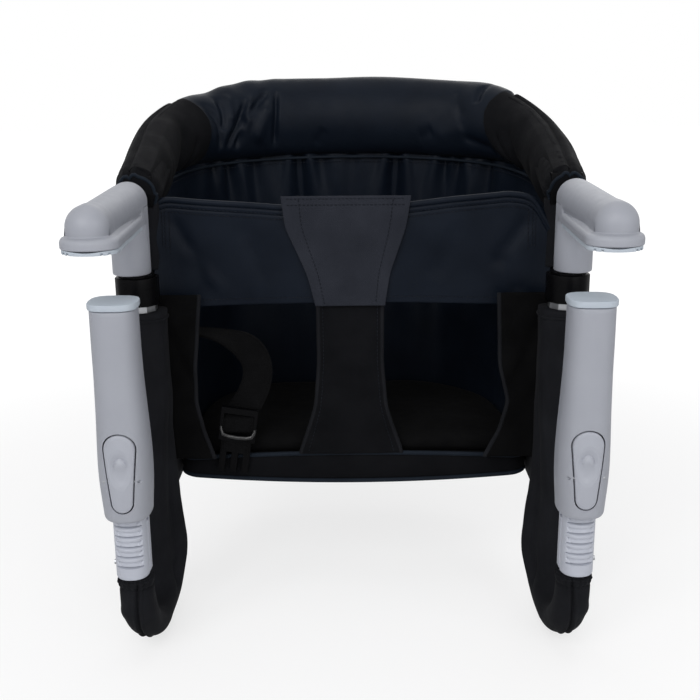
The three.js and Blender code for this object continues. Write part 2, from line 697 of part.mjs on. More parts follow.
// Collar and bush on the leg, and the bracket that holds the hoop's end
const collarOuter = TUBE_R + GAP + COLLAR_WALL;
const bushBore = (TUBE_R + GAP) / Math.cos(Math.PI / TUBE_SIDES); // flats clear of the turning tube
const bushOuter = bushBore + BUSH_T;
const legCollar = () =>
  ring(collarOuter, TUBE_R + GAP, COLLAR_HEIGHT).translate(0, LEG_Y, COLLAR_TOP_Z - COLLAR_HEIGHT);

function swivelBush() {
  const liner = ring(bushOuter, bushBore, RING_HEIGHT + GAP + BUSH_FLANGE);
  const flange = ring(bushOuter + RING_WALL / 2, bushBore, BUSH_FLANGE).translate(0, 0, RING_HEIGHT + GAP);
  return fuse(liner, flange).translate(0, LEG_Y, RING_BOTTOM_Z);
}

function hoopBracket() {
  const ringOuter = bushOuter + GAP + RING_WALL;
  const frontY = LEG_Y + BRACKET_FRONT;
  const rearY = frontY + BRACKET_DEPTH;
  const socketHalf = TUBE_R + GAP + BRACKET_WALL;
  const eye = ring(ringOuter, bushOuter / 2, RING_HEIGHT).translate(0, LEG_Y, RING_BOTTOM_Z);
  const stemBlock = (y0, z1) => block(-BRACKET_STEM_HALF, BRACKET_STEM_HALF, y0, rearY, RING_BOTTOM_Z, z1);
  const foot = stemBlock(LEG_Y + bushOuter, RING_TOP_Z);
  const stem = stemBlock(frontY, HOOP_FRONT_Z);
  const [socketLow, socketHigh] = [HOOP_FRONT_Z - socketHalf, HOOP_FRONT_Z + socketHalf];
  const socket = block(-socketHalf, socketHalf, frontY, rearY, socketLow, socketHigh);
  const bushRoom = uprightBar(bushOuter + GAP, LEG_Y, RING_BOTTOM_Z - OVERRUN, RING_TOP_Z + OVERRUN);
  const tubeBore = tube(hoopPoints(HOOP_FRONT_Y - GAP), TUBE_R + GAP).translate(-SIDE_X, 0, 0);
  return cut(fuse(eye, foot, stem, socket), bushRoom, tubeBore);
}

// Boot: a padded sock round the bottom bend, narrow at the rod and wide at the leg
function boot() {
  const legTop = BOOT_TOP_Z;
  const route = bend(
    [
      at(0, POST_Y, ROD_BOTTOM_Z - GAP),
      at(0, POST_Y, BEND_CENTRE_Z - BEND_R),
      at(0, LEG_Y, BEND_CENTRE_Z - BEND_R),
      at(0, LEG_Y, legTop),
    ],
    [BEND_R, BEND_R],
    BEND_STEPS,
  );
  const path = new BentRoute(route);
  const last = route.length - 1;
  const rings = route.map((point, i) => {
    const share = Math.min(1, i / (last - 1));
    const swell = Math.sin(share * Math.PI / 2);
    const along = path.getTangent(i / last);
    const out = along.clone().cross(ACROSS);
    const half = BOOT_MOUTH_X + (BOOT_LEG_X - BOOT_MOUTH_X) * share ** BOOT_FLARE;
    const depth = BOOT_MOUTH_T + (BOOT_BEND_T - BOOT_MOUTH_T) * swell;
    return oval(point, ACROSS, out, { half, front: depth }, BOOT_POWER, BOOT_SIDES);
  });
  return cut(loft(rings), armChannel);
}

// Leg sleeve: the fabric round the turning leg, held by the seat
function legSleeve() {
  const sizes = { half: LEG_SLEEVE_HALF_X, front: LEG_SLEEVE_HALF_Y };
  const section = (z) => oval(at(0, LEG_Y, z), ACROSS, FORWARD, sizes, LEG_SLEEVE_POWER, BOOT_SIDES);
  const body = loft([section(BOOT_TOP_Z + SWIVEL_GAP), section(LEG_SLEEVE_TOP_Z)]);
  return cut(body, uprightBar(TUBE_R + SWIVEL_GAP, LEG_Y, BOOT_TOP_Z - OVERRUN, LEG_SLEEVE_TOP_Z + OVERRUN));
}

// Plan of the hoop and of the tub: straight sides, then a squared-off half oval behind the turn
const sideShare = HOOP_SIDE_STEPS / HOOP_STEPS;
function planPoint(place, half, backY, frontY) {
  const side = place < sideShare ? -1 : 1;
  if (place < sideShare || place > 1 - sideShare) {
    const share = side < 0 ? place / sideShare : (1 - place) / sideShare;
    return { x: side * half, y: frontY + (HOOP_TURN_Y - frontY) * share };
  }
  const angle = Math.PI * (1 - (place - sideShare) / (1 - 2 * sideShare));
  const depth = backY - HOOP_TURN_Y;
  const wide = Math.abs(Math.cos(angle) / half) ** HOOP_POWER;
  const deep = (Math.sin(angle) / depth) ** HOOP_POWER;
  const reach = (wide + deep) ** (-1 / HOOP_POWER);
  return { x: reach * Math.cos(angle), y: HOOP_TURN_Y + reach * Math.sin(angle) };
}

const hoopZ = (y) => HOOP_FRONT_Z + (y - HOOP_FRONT_Y) * Math.tan(HOOP_SLOPE);

function hoopPoints(frontY) {
  return Array.from({ length: HOOP_STEPS + 1 }, (_, i) => {
    const { x, y } = planPoint(i / HOOP_STEPS, SIDE_X, HOOP_BACK_Y, frontY);
    return at(x, y, hoopZ(y));
  });
}

const hoopTube = () => tube(hoopPoints(HOOP_FRONT_Y), TUBE_R, TUBE_R - TUBE_WALL);
const rimFrontY = LEG_Y + BRACKET_FRONT + BRACKET_DEPTH + GAP + RIM_R * Math.tan(HOOP_SLOPE);
const rimSleeve = () => tube(hoopPoints(rimFrontY), RIM_R, TUBE_R + GAP);

// A place on the tub's wall: round the plan, up the wall and in from its outer face
const nearbyShare = 0.001;
function wallPoint(place, rise, inward, frontY) {
  const top = planPoint(place, SIDE_X, HOOP_BACK_Y, frontY);
  const topNext = planPoint(place + nearbyShare, SIDE_X, HOOP_BACK_Y, frontY);
  const low = planPoint(place, TUB_BOTTOM_HALF, TUB_BOTTOM_BACK_Y, frontY);
  const topZ = hoopZ(top.y) - RIM_DROP;
  const normal = new THREE.Vector2(topNext.y - top.y, top.x - topNext.x).normalize();
  return at(
    low.x + (top.x - SHELL_T * normal.x / 2 - low.x) * rise + inward * normal.x,
    low.y + (top.y - SHELL_T * normal.y / 2 - low.y) * rise + inward * normal.y,
    TUB_BOTTOM_Z + (topZ - TUB_BOTTOM_Z) * rise,
  );
}

const topZAt = (place, frontY) => hoopZ(planPoint(place, SIDE_X, HOOP_BACK_Y, frontY).y) - RIM_DROP;
const riseAt = (place, z, frontY) => (z - TUB_BOTTOM_Z) / (topZAt(place, frontY) - TUB_BOTTOM_Z);

// A wall of the tub, from one place on its plan to another, between two heights
function tubWall({ from, to, steps, lowZ, highZ, outset, thickness, frontY, lifts = 4 }) {
  const rings = [];
  for (let i = 0; i <= steps; i++) {
    const place = from + ((to - from) * i) / steps;
    const low = riseAt(place, lowZ(place), frontY);
    const high = riseAt(place, highZ(place), frontY);
    const outer = [];
    const inner = [];
    for (let j = 0; j <= lifts; j++) {
      const share = j / lifts;
      const rise = low + (high - low) * share;
      outer.push(wallPoint(place, rise, outset, frontY));
      inner.unshift(wallPoint(place, rise, outset + thickness(share), frontY));
    }
    rings.push([...outer, ...inner]);
  }
  return loft(rings);
}

// Room round each hoop bracket, which the fabric behind it leaves free
function bracketRooms() {
  const frontY = LEG_Y + BRACKET_FRONT - GAP;
  const rearY = frontY + BRACKET_DEPTH + 2 * GAP;
  const socketHalf = TUBE_R + BRACKET_WALL + 2 * GAP;
  return [-SIDE_X, SIDE_X].map((x) =>
    block(x - socketHalf, x + socketHalf, frontY, rearY, RING_BOTTOM_Z - GAP, HOOP_FRONT_Z + socketHalf),
  );
}

function tubShell() {
  const wall = tubWall({
    from: 0,
    to: 1,
    steps: HOOP_STEPS,
    lowZ: () => TUB_BOTTOM_Z,
    highZ: (place) => topZAt(place, TUB_FRONT_Y),
    outset: 0,
    thickness: () => SHELL_T,
    frontY: TUB_FRONT_Y,
  });
  return cut(wall, ...bracketRooms());
}

// The seam between the headrest band and the lining, high at the back and lower at the sides
const seamShare = (place) => Math.sin(Math.PI * place) ** 2;
const seamZ = (place) => BAND_SIDE_Z + (BAND_BACK_Z - BAND_SIDE_Z) * seamShare(place);
const liningOutset = SHELL_T + 2 * GAP; // the two skins twist a little differently
const edgeShare = 0.35; // how much a padded edge thins

function tubLining() {
  return tubWall({
    from: 0,
    to: 1,
    steps: HOOP_STEPS,
    lowZ: () => PAN_TOP_Z + GAP,
    highZ: (place) => Math.min(seamZ(place), topZAt(place, LINING_FRONT_Y)) - GAP,
    outset: liningOutset,
    thickness: (share) => LINING_T * (1 - edgeShare * Math.abs(2 * share - 1) ** 3),
    frontY: LINING_FRONT_Y,
  });
}
function headrestBand() {
  return tubWall({
    from: BAND_END_STEPS / HOOP_STEPS,
    to: 1 - BAND_END_STEPS / HOOP_STEPS,
    steps: HOOP_STEPS - 2 * BAND_END_STEPS,
    lowZ: seamZ,
    highZ: (place) => topZAt(place, LINING_FRONT_Y),
    outset: liningOutset,
    thickness: (share) => BAND_T * (1 - edgeShare * Math.abs(2 * share - 1) ** 3),
    frontY: LINING_FRONT_Y,
    lifts: 3,
  });
}

// Plan of the pan and the pad: inside the tub's wall at the pan's foot, with round front corners
function seatPlan(inset, frontY, z) {
  const points = [];
  const corner = PAN_CORNER;
  const wallShift = SHELL_T + GAP + inset;
  for (let i = HOOP_SIDE_STEPS; i <= HOOP_STEPS - HOOP_SIDE_STEPS; i++) {
    const point = wallPoint(i / HOOP_STEPS, 0, wallShift, TUB_FRONT_Y);
    points.push(at(point.x, point.y, z));
  }
  const half = TUB_BOTTOM_HALF - wallShift;
  for (let k = 1; k <= CORNER_STEPS; k++) {
    const angle = (Math.PI / 2) * (k / CORNER_STEPS);
    points.push(at(half - corner * (1 - Math.cos(angle)), frontY + corner * (1 - Math.sin(angle)), z));
  }
  for (let k = CORNER_STEPS; k >= 1; k--) {
    const angle = (Math.PI / 2) * (k / CORNER_STEPS);
    points.push(at(corner * (1 - Math.cos(angle)) - half, frontY + corner * (1 - Math.sin(angle)), z));
  }
  return points;
}

const seatPan = () => loft([seatPlan(0, PAN_FRONT_Y, TUB_BOTTOM_Z), seatPlan(0, PAN_FRONT_Y, PAN_TOP_Z)]);

// Cushion with drawn-in sides and a crowned top; each row gives how far a level is drawn in,
// and its height in edges and in crowns
const padShares = [
  [1, 0, 0],
  [0, 0.5, 0],
  [1, 1, 0],
  [3, 1, 0.6],
  [5, 1, 1],
];
function seatPad() {
  const inset = LINING_T + GAP;
  const frontY = PANEL_Y + PANEL_T + GAP;
  const base = PAN_TOP_Z + GAP;
  const levels = padShares.map(([draws, edges, crowns]) => ({
    draw: PAD_DRAW * draws,
    rise: PAD_EDGE_T * edges + PAD_CROWN * crowns,
  }));
  return loft(levels.map(({ draw, rise }) => seatPlan(inset + draw, frontY + draw, base + rise)));
}

// A flat panel in the XZ plane, given its outline, its front face and its thickness
function panel(outline, frontY, thickness) {
  const shape = new THREE.Shape(outline.map(([x, z]) => new THREE.Vector2(x, z)));
  const body = new THREE.ExtrudeGeometry(shape, { depth: thickness, bevelEnabled: false });
  return body.rotateX(Math.PI / 2).translate(0, frontY + thickness, 0);
}

const sagZ = (x) => PANEL_TOP_Z - PANEL_SAG * (1 - (x / PANEL_HALF) ** 2);

function frontPanel() {
  const top = Array.from({ length: PANEL_STEPS + 1 }, (_, i) => {
    const x = PANEL_HALF * (1 - (2 * i) / PANEL_STEPS);
    return [x, sagZ(x)];
  });
  const outline = [[-PANEL_HALF, PANEL_BOTTOM_Z], [PANEL_HALF, PANEL_BOTTOM_Z], ...top];
  return cut(panel(outline, PANEL_Y, PANEL_T), ...bracketRooms());
}

function frontFlap() {
  const outline = [
    [-CROTCH_NECK_HALF, PANEL_BOTTOM_Z],
    [CROTCH_NECK_HALF, PANEL_BOTTOM_Z],
    [FLAP_MID_HALF, FLAP_MID_Z],
    [FLAP_TOP_HALF, FLAP_TOP_Z],
    [-FLAP_TOP_HALF, FLAP_TOP_Z],
    [-FLAP_MID_HALF, FLAP_MID_Z],
  ];
  return panel(outline, PANEL_Y - GAP - FLAP_T, FLAP_T);
}

function crotchPanel() {
  const top = PANEL_BOTTOM_Z - GAP;
  const outline = [
    [-CROTCH_FOOT_HALF, PAN_TOP_Z + GAP],
    [CROTCH_FOOT_HALF, PAN_TOP_Z + GAP],
    [CROTCH_NECK_HALF, CROTCH_NECK_Z],
    [CROTCH_NECK_HALF, top],
    [-CROTCH_NECK_HALF, top],
    [-CROTCH_NECK_HALF, CROTCH_NECK_Z],
  ];
  return panel(outline, PANEL_Y, PANEL_T);
}

// Side gusset: the front-facing web from the leg to the leg opening, behind the leg sleeve
function sideGusset() {
  const outer = GUSSET_OUT;
  const foot = PAN_TOP_Z + GAP;
  const outline = [
    [GUSSET_FOOT_X - SIDE_X, foot],
    [outer, foot],
    [outer, RING_BOTTOM_Z - SWIVEL_GAP],
    [GUSSET_TOP_X - SIDE_X, RING_BOTTOM_Z - SWIVEL_GAP],
    [GUSSET_TOP_X - SIDE_X, CROTCH_NECK_Z],
    [GUSSET_MID_X - SIDE_X, GUSSET_MID_Z],
    [GUSSET_MID_X - SIDE_X - GUSSET_T, (GUSSET_MID_Z + foot) / 2],
  ];
  return panel(outline, LEG_Y + LEG_SLEEVE_HALF_Y + GAP, GUSSET_T);
}

// A strap: a flat section carried along points, each with its own across direction
function strap(stations) {
  return loft(
    stations.map(({ point, across, face }) => {
      const wide = across.clone().normalize().multiplyScalar(BELT_WIDTH / 2);
      const thick = face.clone().normalize().multiplyScalar(BELT_T / 2);
      return [
        point.clone().add(wide).add(thick),
        point.clone().sub(wide).add(thick),
        point.clone().sub(wide).sub(thick),
        point.clone().add(wide).sub(thick),
      ];
    }),
  );
}

// Inner face of the right lining, at a distance back and a height
function liningX(y, z) {
  const place = 1 - sideShare * Math.min(1, (y - LINING_FRONT_Y) / (HOOP_TURN_Y - LINING_FRONT_Y));
  return wallPoint(place, riseAt(place, z, LINING_FRONT_Y), liningOutset + LINING_T, LINING_FRONT_Y).x;
}

// Left belt: from the lining, over the seat's front edge, down to the hanging buckle
function beltLeft() {
  const anchorX = BELT_WIDTH / 2 + SWIVEL_GAP - liningX(HOOP_TURN_Y, BELT_ANCHOR_Z);
  const hangY = BUCKLE_Y + BUCKLE_T / 2;
  const kneeY = PAN_FRONT_Y + BELT_WIDTH / 2;
  const kneeZ = BELT_ANCHOR_Z - BELT_WIDTH / 2;
  const dropZ = kneeZ - BELT_WIDTH / 3;
  return strap([
    { point: at(anchorX, HOOP_TURN_Y, BELT_ANCHOR_Z), across: ACROSS, face: at(0, 0, 1) },
    { point: at(BUCKLE_X + BELT_WIDTH / 4, kneeY, kneeZ), across: ACROSS, face: at(0, -1, 2) },
    { point: at(BUCKLE_X + BELT_WIDTH / 5, hangY, dropZ), across: ACROSS, face: at(0, -2, 1) },
    { point: at(BUCKLE_X, hangY, BUCKLE_TOP_Z + GAP), across: ACROSS, face: FORWARD },
  ]);
}

// Male half: a ladder plate for the webbing, a neck and three prongs
function buckleMale() {
  const plateFoot = BUCKLE_TOP_Z - BUCKLE_PLATE;
  const neckFoot = plateFoot - BUCKLE_NECK;
  const tipZ = neckFoot - PRONG_LENGTH;
  const y0 = BUCKLE_Y;
  const y1 = BUCKLE_Y + BUCKLE_T;
  const part = (x0, x1, z0, z1) => block(BUCKLE_X + x0, BUCKLE_X + x1, y0, y1, z0, z1);
  const plate = part(-BUCKLE_HALF, BUCKLE_HALF, plateFoot, BUCKLE_TOP_Z);
  const neckHalf = BUCKLE_HALF - PRONG_WIDTH / 2;
  const neck = part(-neckHalf, neckHalf, neckFoot, plateFoot + GAP);
  const prongs = [-1, 0, 1].map((side) => {
    const x = side * (BUCKLE_HALF - PRONG_WIDTH);
    return part(x - PRONG_WIDTH / 2, x + PRONG_WIDTH / 2, tipZ, neckFoot + GAP);
  });
  const slotHeight = (BUCKLE_PLATE - 3 * SLOT_BAR) / 2;
  const slots = [0, 1].map((k) => {
    const top = BUCKLE_TOP_Z - SLOT_BAR - k * (slotHeight + SLOT_BAR);
    return block(BUCKLE_X - neckHalf, BUCKLE_X + neckHalf, y0 - OVERRUN, y1 + OVERRUN, top - slotHeight, top);
  });
  return cut(fuse(plate, neck, ...prongs), ...slots);
}

// Right belt and the female half, hanging flat on the lining
function beltRight() {
  const across = at(0, 1, 0);
  const stations = [BELT_ANCHOR_Z + BELT_WIDTH, BELT_ANCHOR_Z].map((z) => {
    const x = liningX(FEMALE_Y, z) - BELT_T;
    return { point: at(x, FEMALE_Y, z), across, face: ACROSS };
  });
  return strap(stations);
}

function buckleFemale() {
  const z1 = BELT_ANCHOR_Z - GAP;
  const z0 = z1 - FEMALE_LENGTH;
  const x1 = liningX(FEMALE_Y, z0) - SWIVEL_GAP;
  const x0 = x1 - FEMALE_T;
  const body = block(x0, x1, FEMALE_Y - FEMALE_HALF, FEMALE_Y + FEMALE_HALF, z0, z1);
  const innerHalf = FEMALE_HALF - FEMALE_WALL;
  const innerX0 = x0 + FEMALE_WALL;
  const innerX1 = x1 - FEMALE_WALL;
  const roofZ = z1 - PRONG_WIDTH;
  const mouth = block(innerX0, innerX1, FEMALE_Y - innerHalf, FEMALE_Y + innerHalf, z0 - OVERRUN, roofZ);
  const windowZ = z0 + FEMALE_LENGTH / 3;
  const outHalf = FEMALE_HALF + OVERRUN;
  const windowTop = windowZ + PRONG_LENGTH / 2;
  const windows = block(innerX0, innerX1, FEMALE_Y - outHalf, FEMALE_Y + outHalf, windowZ, windowTop);
  return cut(body, mouth, windows);
}

// Assembly
const chair = new THREE.Group();
chair.name = "hook_on_table_chair";

function add(parent, name, geometry, finish) {
  const mesh = new THREE.Mesh(geometry, new THREE.MeshStandardMaterial(finish));
  mesh.name = name;
  parent.add(mesh);
}

const SIDE_PIECES = [
  ["arm_tube", armTube(), STEEL],
  ["arm_cover", armCover(), GREY],
  ["column_cover", columnCover(), GREY],
  ["arm_pad", armPad(), LIGHT_GREY],
  ["cover_screw", coverScrew(), STEEL],
  ["ratchet_rod", ratchetRod(), GREY],
  ["rod_bolt", rodBolt(), STEEL],
  ["rod_plug", rodPlug(), BLACK_PLASTIC],
  ["boot", boot(), OUTER_FABRIC],
  ["leg_collar", legCollar(), STEEL],
  ["clamp_sleeve", clampSleeve(), GREY],
  ["clamp_pad", clampPad(), LIGHT_GREY],
  ["release_lever", releaseLever(), GREY],
  ["lever_pin", leverPin(), STEEL],
  ["lever_spring", leverSpring(), STEEL],
  ["swivel_bush", swivelBush(), BLACK_PLASTIC],
  ["hoop_bracket", hoopBracket(), BLACK_PLASTIC],
  ["leg_sleeve", legSleeve(), OUTER_FABRIC],
  ["side_gusset", sideGusset(), OUTER_FABRIC],
];

for (const [side, sign] of [["left", -1], ["right", 1]]) {
  const group = new THREE.Group();
  group.position.x = sign * SIDE_X;
  group.scale.x = sign;
  for (const [name, geometry, finish] of SIDE_PIECES) add(group, `${side}_${name}`, geometry, finish);
  chair.add(group);
}

add(chair, "hoop_tube", hoopTube(), STEEL);
add(chair, "rim_sleeve", rimSleeve(), OUTER_FABRIC);
add(chair, "tub_shell", tubShell(), OUTER_FABRIC);
add(chair, "tub_lining", tubLining(), LINING_FABRIC);
add(chair, "headrest_band", headrestBand(), LINING_FABRIC);
add(chair, "seat_pan", seatPan(), OUTER_FABRIC);
add(chair, "seat_pad", seatPad(), LINING_FABRIC);
add(chair, "front_panel", frontPanel(), OUTER_FABRIC);
add(chair, "front_flap", frontFlap(), OUTER_FABRIC);
add(chair, "crotch_panel", crotchPanel(), OUTER_FABRIC);
add(chair, "belt_left", beltLeft(), WEBBING);
add(chair, "buckle_male", buckleMale(), BLACK_PLASTIC);
add(chair, "belt_right", beltRight(), WEBBING);
add(chair, "buckle_female", buckleFemale(), BLACK_PLASTIC);

export default chair;
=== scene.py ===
import math

import bmesh
import bpy
from mathutils import Matrix, Vector
import numpy as np


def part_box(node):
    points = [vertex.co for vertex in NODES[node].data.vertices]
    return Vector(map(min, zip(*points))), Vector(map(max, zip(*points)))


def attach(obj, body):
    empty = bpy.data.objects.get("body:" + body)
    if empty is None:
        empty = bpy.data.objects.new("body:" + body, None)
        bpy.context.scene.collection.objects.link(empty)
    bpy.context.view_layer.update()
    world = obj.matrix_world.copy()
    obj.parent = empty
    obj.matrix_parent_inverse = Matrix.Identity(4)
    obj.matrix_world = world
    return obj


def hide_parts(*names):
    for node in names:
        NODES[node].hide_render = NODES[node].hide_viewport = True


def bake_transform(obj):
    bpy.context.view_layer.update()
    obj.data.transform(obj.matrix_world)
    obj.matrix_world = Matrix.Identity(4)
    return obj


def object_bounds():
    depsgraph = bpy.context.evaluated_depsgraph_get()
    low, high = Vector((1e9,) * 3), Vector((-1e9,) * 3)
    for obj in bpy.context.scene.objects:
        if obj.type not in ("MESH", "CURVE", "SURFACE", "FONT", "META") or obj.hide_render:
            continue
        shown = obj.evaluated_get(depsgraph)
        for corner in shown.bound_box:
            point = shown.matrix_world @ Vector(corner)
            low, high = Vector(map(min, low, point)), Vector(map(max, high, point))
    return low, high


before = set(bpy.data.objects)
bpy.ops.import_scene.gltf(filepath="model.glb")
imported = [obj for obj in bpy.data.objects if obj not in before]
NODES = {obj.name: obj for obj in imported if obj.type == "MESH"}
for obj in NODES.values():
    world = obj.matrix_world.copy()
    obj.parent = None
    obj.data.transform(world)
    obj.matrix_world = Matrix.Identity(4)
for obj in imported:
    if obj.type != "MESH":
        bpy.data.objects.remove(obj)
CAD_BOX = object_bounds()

MM = 0.001
X, Y, Z = range(3)
SIDES = {"left": -1, "right": 1}


def low_of(node, axis):
    """A held piece's lowest place along an axis, in millimetres."""
    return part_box(node)[0][axis] / MM


def high_of(node, axis):
    """A held piece's highest place along an axis, in millimetres."""
    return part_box(node)[1][axis] / MM


def middle_of(node, axis):
    return (low_of(node, axis) + high_of(node, axis)) / 2


# Sizes in millimetres, in the frame's own axes. Those that the held pieces know are read from them.
SIDE_X = middle_of("right_lever_pin", X)
PIN_Y = middle_of("left_lever_pin", Y)
PIN_Z = middle_of("left_lever_pin", Z)
SLEEVE_TOP_Z = high_of("left_clamp_sleeve", Z)
SLEEVE_LOW_Z = low_of("left_clamp_sleeve", Z)
ROD_LOW_Z = low_of("left_ratchet_rod", Z)
ROD_TOP_Z = high_of("left_ratchet_rod", Z)
PAN_LOW_Z = low_of("seat_pan", Z)
PAN_TOP_Z = high_of("seat_pan", Z)
LEG_FABRIC_TOP_Z = high_of("left_leg_sleeve", Z)
COLUMN_LOW_Z = low_of("left_column_cover", Z)
RIM_R = high_of("rim_sleeve", X) - SIDE_X
LEG_Y = 20
POST_Y = -66

HOOP_FRONT_Y = 44
HOOP_FRONT_Z = 23.5
HOOP_SLOPE = math.tan(math.radians(18.3))
HOOP_BACK_Y = 243
HOOP_LENGTH = 640
TURN_Y = 80
PLAN_POWER = 3.1
SIDE_SHARE = 2 / 22
TUB_LOW_HALF = 153.5
TUB_LOW_BACK_Y = 236
TUB_FRONT_Y = 41
BACK_SHIFT = 2.5
BACK_SHIFT_SPAN = 90


# Steps and curves
def column(count, low=0, high=1):
    return np.linspace(low, high, count)[:, None]


def row(count, low=0, high=1):
    return np.linspace(low, high, count)[None]


def around(count):
    return np.linspace(0, 2 * np.pi, count, endpoint=False)


def eased(t):
    t = np.clip(t, 0, 1)
    return t * t * (3 - 2 * t)


def rise(t, start, span):
    """From 0 at a start to 1 a span further, with soft ends."""
    return eased((t - start) / span)


def fall(t, end, span):
    """From 1 to 0 over the span before an end, with soft ends."""
    return eased((end - t) / span)


def bump(t, middle, width):
    return np.exp(-(((t - middle) / width) ** 2))


CREASE_END_SHARE = 0.25


def crease(across, along, start, end, width, depth):
    """A soft ridge on a surface from one place to another, given in two of its own measures."""
    start, end = np.array(start, float), np.array(end, float)
    way = end - start
    length = np.linalg.norm(way)
    way /= length
    dx, dy = across - start[0], along - start[1]
    on = (dx * way[0] + dy * way[1]) / length
    off = -dx * way[1] + dy * way[0]
    return depth * bump(off, 0, width) * eased(on / CREASE_END_SHARE) * eased((1 - on) / CREASE_END_SHARE)


def creases(across, along, folds):
    return sum(crease(across, along, *fold) for fold in folds)


WAVES = 7
WAVE_LOUDNESS = 3
WAVE_SIZE_SHARES = (0.7, 1.6)


def ripples(across, along, size, seed):
    """A gentle unevenness of about 1, in waves of roughly the given size."""
    chance = np.random.default_rng(seed)
    total = np.zeros(np.broadcast(across, along).shape)
    for _ in range(WAVES):
        turn, phase = chance.uniform(0, 2 * np.pi, 2)
        wave = 2 * np.pi / (size * chance.uniform(*WAVE_SIZE_SHARES))
        total = total + np.sin((across * np.cos(turn) + along * np.sin(turn)) * wave + phase)
    return total / WAVE_LOUDNESS


SMOOTH_MARGIN = 20
SMOOTH_STEPS = 800
SMOOTH_REACH = 60


def smoothed(x, keys, values, width=5):
    """Values between keys, with the corners rounded over a width."""
    fine = np.linspace(keys[0] - SMOOTH_MARGIN, keys[-1] + SMOOTH_MARGIN, SMOOTH_STEPS)
    rough = np.interp(fine, keys, values)
    spread = bump(np.arange(-SMOOTH_REACH, SMOOTH_REACH + 1) * (fine[1] - fine[0]), 0, width)
    soft = np.convolve(np.pad(rough, SMOOTH_REACH, "edge"), spread / spread.sum(), "valid")
    return np.interp(x, fine, soft)


def bezier(points, count):
    a, b, c, d = points
    t = np.linspace(0, 1, count)[:, None, None]
    return (1 - t) ** 3 * a + 3 * (1 - t) ** 2 * t * b + 3 * (1 - t) * t ** 2 * c + t ** 3 * d


TINY = 1e-9


def unit(vectors):
    return vectors / np.maximum(np.linalg.norm(vectors, axis=-1, keepdims=True), TINY)


def run_along(points):
    """The distance from the first point to each of the points along their line."""
    return np.concatenate([[0], np.cumsum(np.linalg.norm(np.diff(points, axis=0), axis=1))])


def at_run(run, points, wanted):
    return np.stack([np.interp(wanted, run, points[:, k]) for k in range(points.shape[1])], -1)


def evenly_round(outline, count):
    """Points that lie evenly along a closed outline."""
    closed = np.concatenate([outline, outline[:1]])
    run = run_along(closed)
    return at_run(run, closed, np.linspace(0, run[-1], count, endpoint=False))


def squared_round(angle, power):
    """A round section's two measures, squarer the higher the power."""
    c, s = np.cos(angle), np.sin(angle)
    return np.sign(c) * np.abs(c) ** (2 / power), np.sign(s) * np.abs(s) ** (2 / power)


# Meshes from grids of points in millimetres.
WELD_M = 1e-6


def finished(name, points, faces, body, material, *replaced, slot=None):
    mesh = bpy.data.meshes.new(name)
    mesh.from_pydata((np.asarray(points, float).reshape(-1, 3) * MM).tolist(), [], faces)
    clean = bmesh.new()
    clean.from_mesh(mesh)
    bmesh.ops.remove_doubles(clean, verts=clean.verts, dist=WELD_M)
    bmesh.ops.recalc_face_normals(clean, faces=clean.faces)
    clean.to_mesh(mesh)
    clean.free()
    mesh.shade_smooth()
    piece = bpy.data.objects.new(name, mesh)
    bpy.context.scene.collection.objects.link(piece)
    return dress(piece, body, material, *replaced, slot=slot)


def dress(piece, body, material, *replaced, slot=None):
    """Gives a piece its material and body, and the held pieces that it stands for. The slot is not used."""
    piece.data.materials.clear()
    piece.data.materials.append(material)
    if replaced:
        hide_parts(*replaced)
    if body:
        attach(piece, body)
    return piece


def quads(rows, columns, round_rows=False, round_columns=False, start=0):
    """Faces of a grid of points, whose rows or columns may close on themselves."""
    down_steps = np.arange(rows if round_rows else rows - 1)
    on_steps = np.arange(columns if round_columns else columns - 1)
    i, j = np.meshgrid(down_steps, on_steps, indexing="ij")
    down, on = (i + 1) % rows, (j + 1) % columns
    faces = np.stack([i * columns + j, i * columns + on, down * columns + on, down * columns + j], -1)
    return (faces.reshape(-1, 4) + start).tolist()


def normals_of(grid):
    """Unit normals of a grid of points, from the steps between neighbours."""
    return unit(np.cross(np.gradient(grid, axis=0), np.gradient(grid, axis=1)))


def sheet(name, grid, thickness, body, material, *replaced):
    """A closed sheet of cloth: the grid, thickened both ways and joined round its border."""
    rows, columns, _ = grid.shape
    out = normals_of(grid) * thickness / 2
    points = np.concatenate([(grid + out).reshape(-1, 3), (grid - out).reshape(-1, 3)])
    count = rows * columns
    faces = quads(rows, columns) + [face[::-1] for face in quads(rows, columns, start=count)]
    border = list(range(columns))
    border += [i * columns + columns - 1 for i in range(1, rows)]
    border += [(rows - 1) * columns + k for k in range(columns - 2, -1, -1)]
    border += [i * columns for i in range(rows - 2, 0, -1)]
    for a, b in zip(border, border[1:] + border[:1]):
        faces.append([a, b, b + count, a + count])
    return finished(name, points, faces, body, material, *replaced)


def skin(name, rings, body, material, *replaced, slot=None):
    """A closed skin over rings of points, with flat ends."""
    rings = np.asarray(rings, float)
    rows, columns, _ = rings.shape
    faces = quads(rows, columns, round_columns=True)
    faces.append(list(range(columns))[::-1])
    faces.append([(rows - 1) * columns + k for k in range(columns)])
    return finished(name, rings, faces, body, material, *replaced, slot=slot)


def tube_rings(path, right, over, radius, sides):
    """Rings round a path's points; the radius may differ from point to point and round it."""
    angle = around(sides)[None, :, None]
    turn = np.cos(angle) * right[:, None] + np.sin(angle) * over[:, None]
    return path[:, None] + np.broadcast_to(radius, (len(path), sides))[..., None] * turn


UPRIGHT_LIMIT = 1e-3


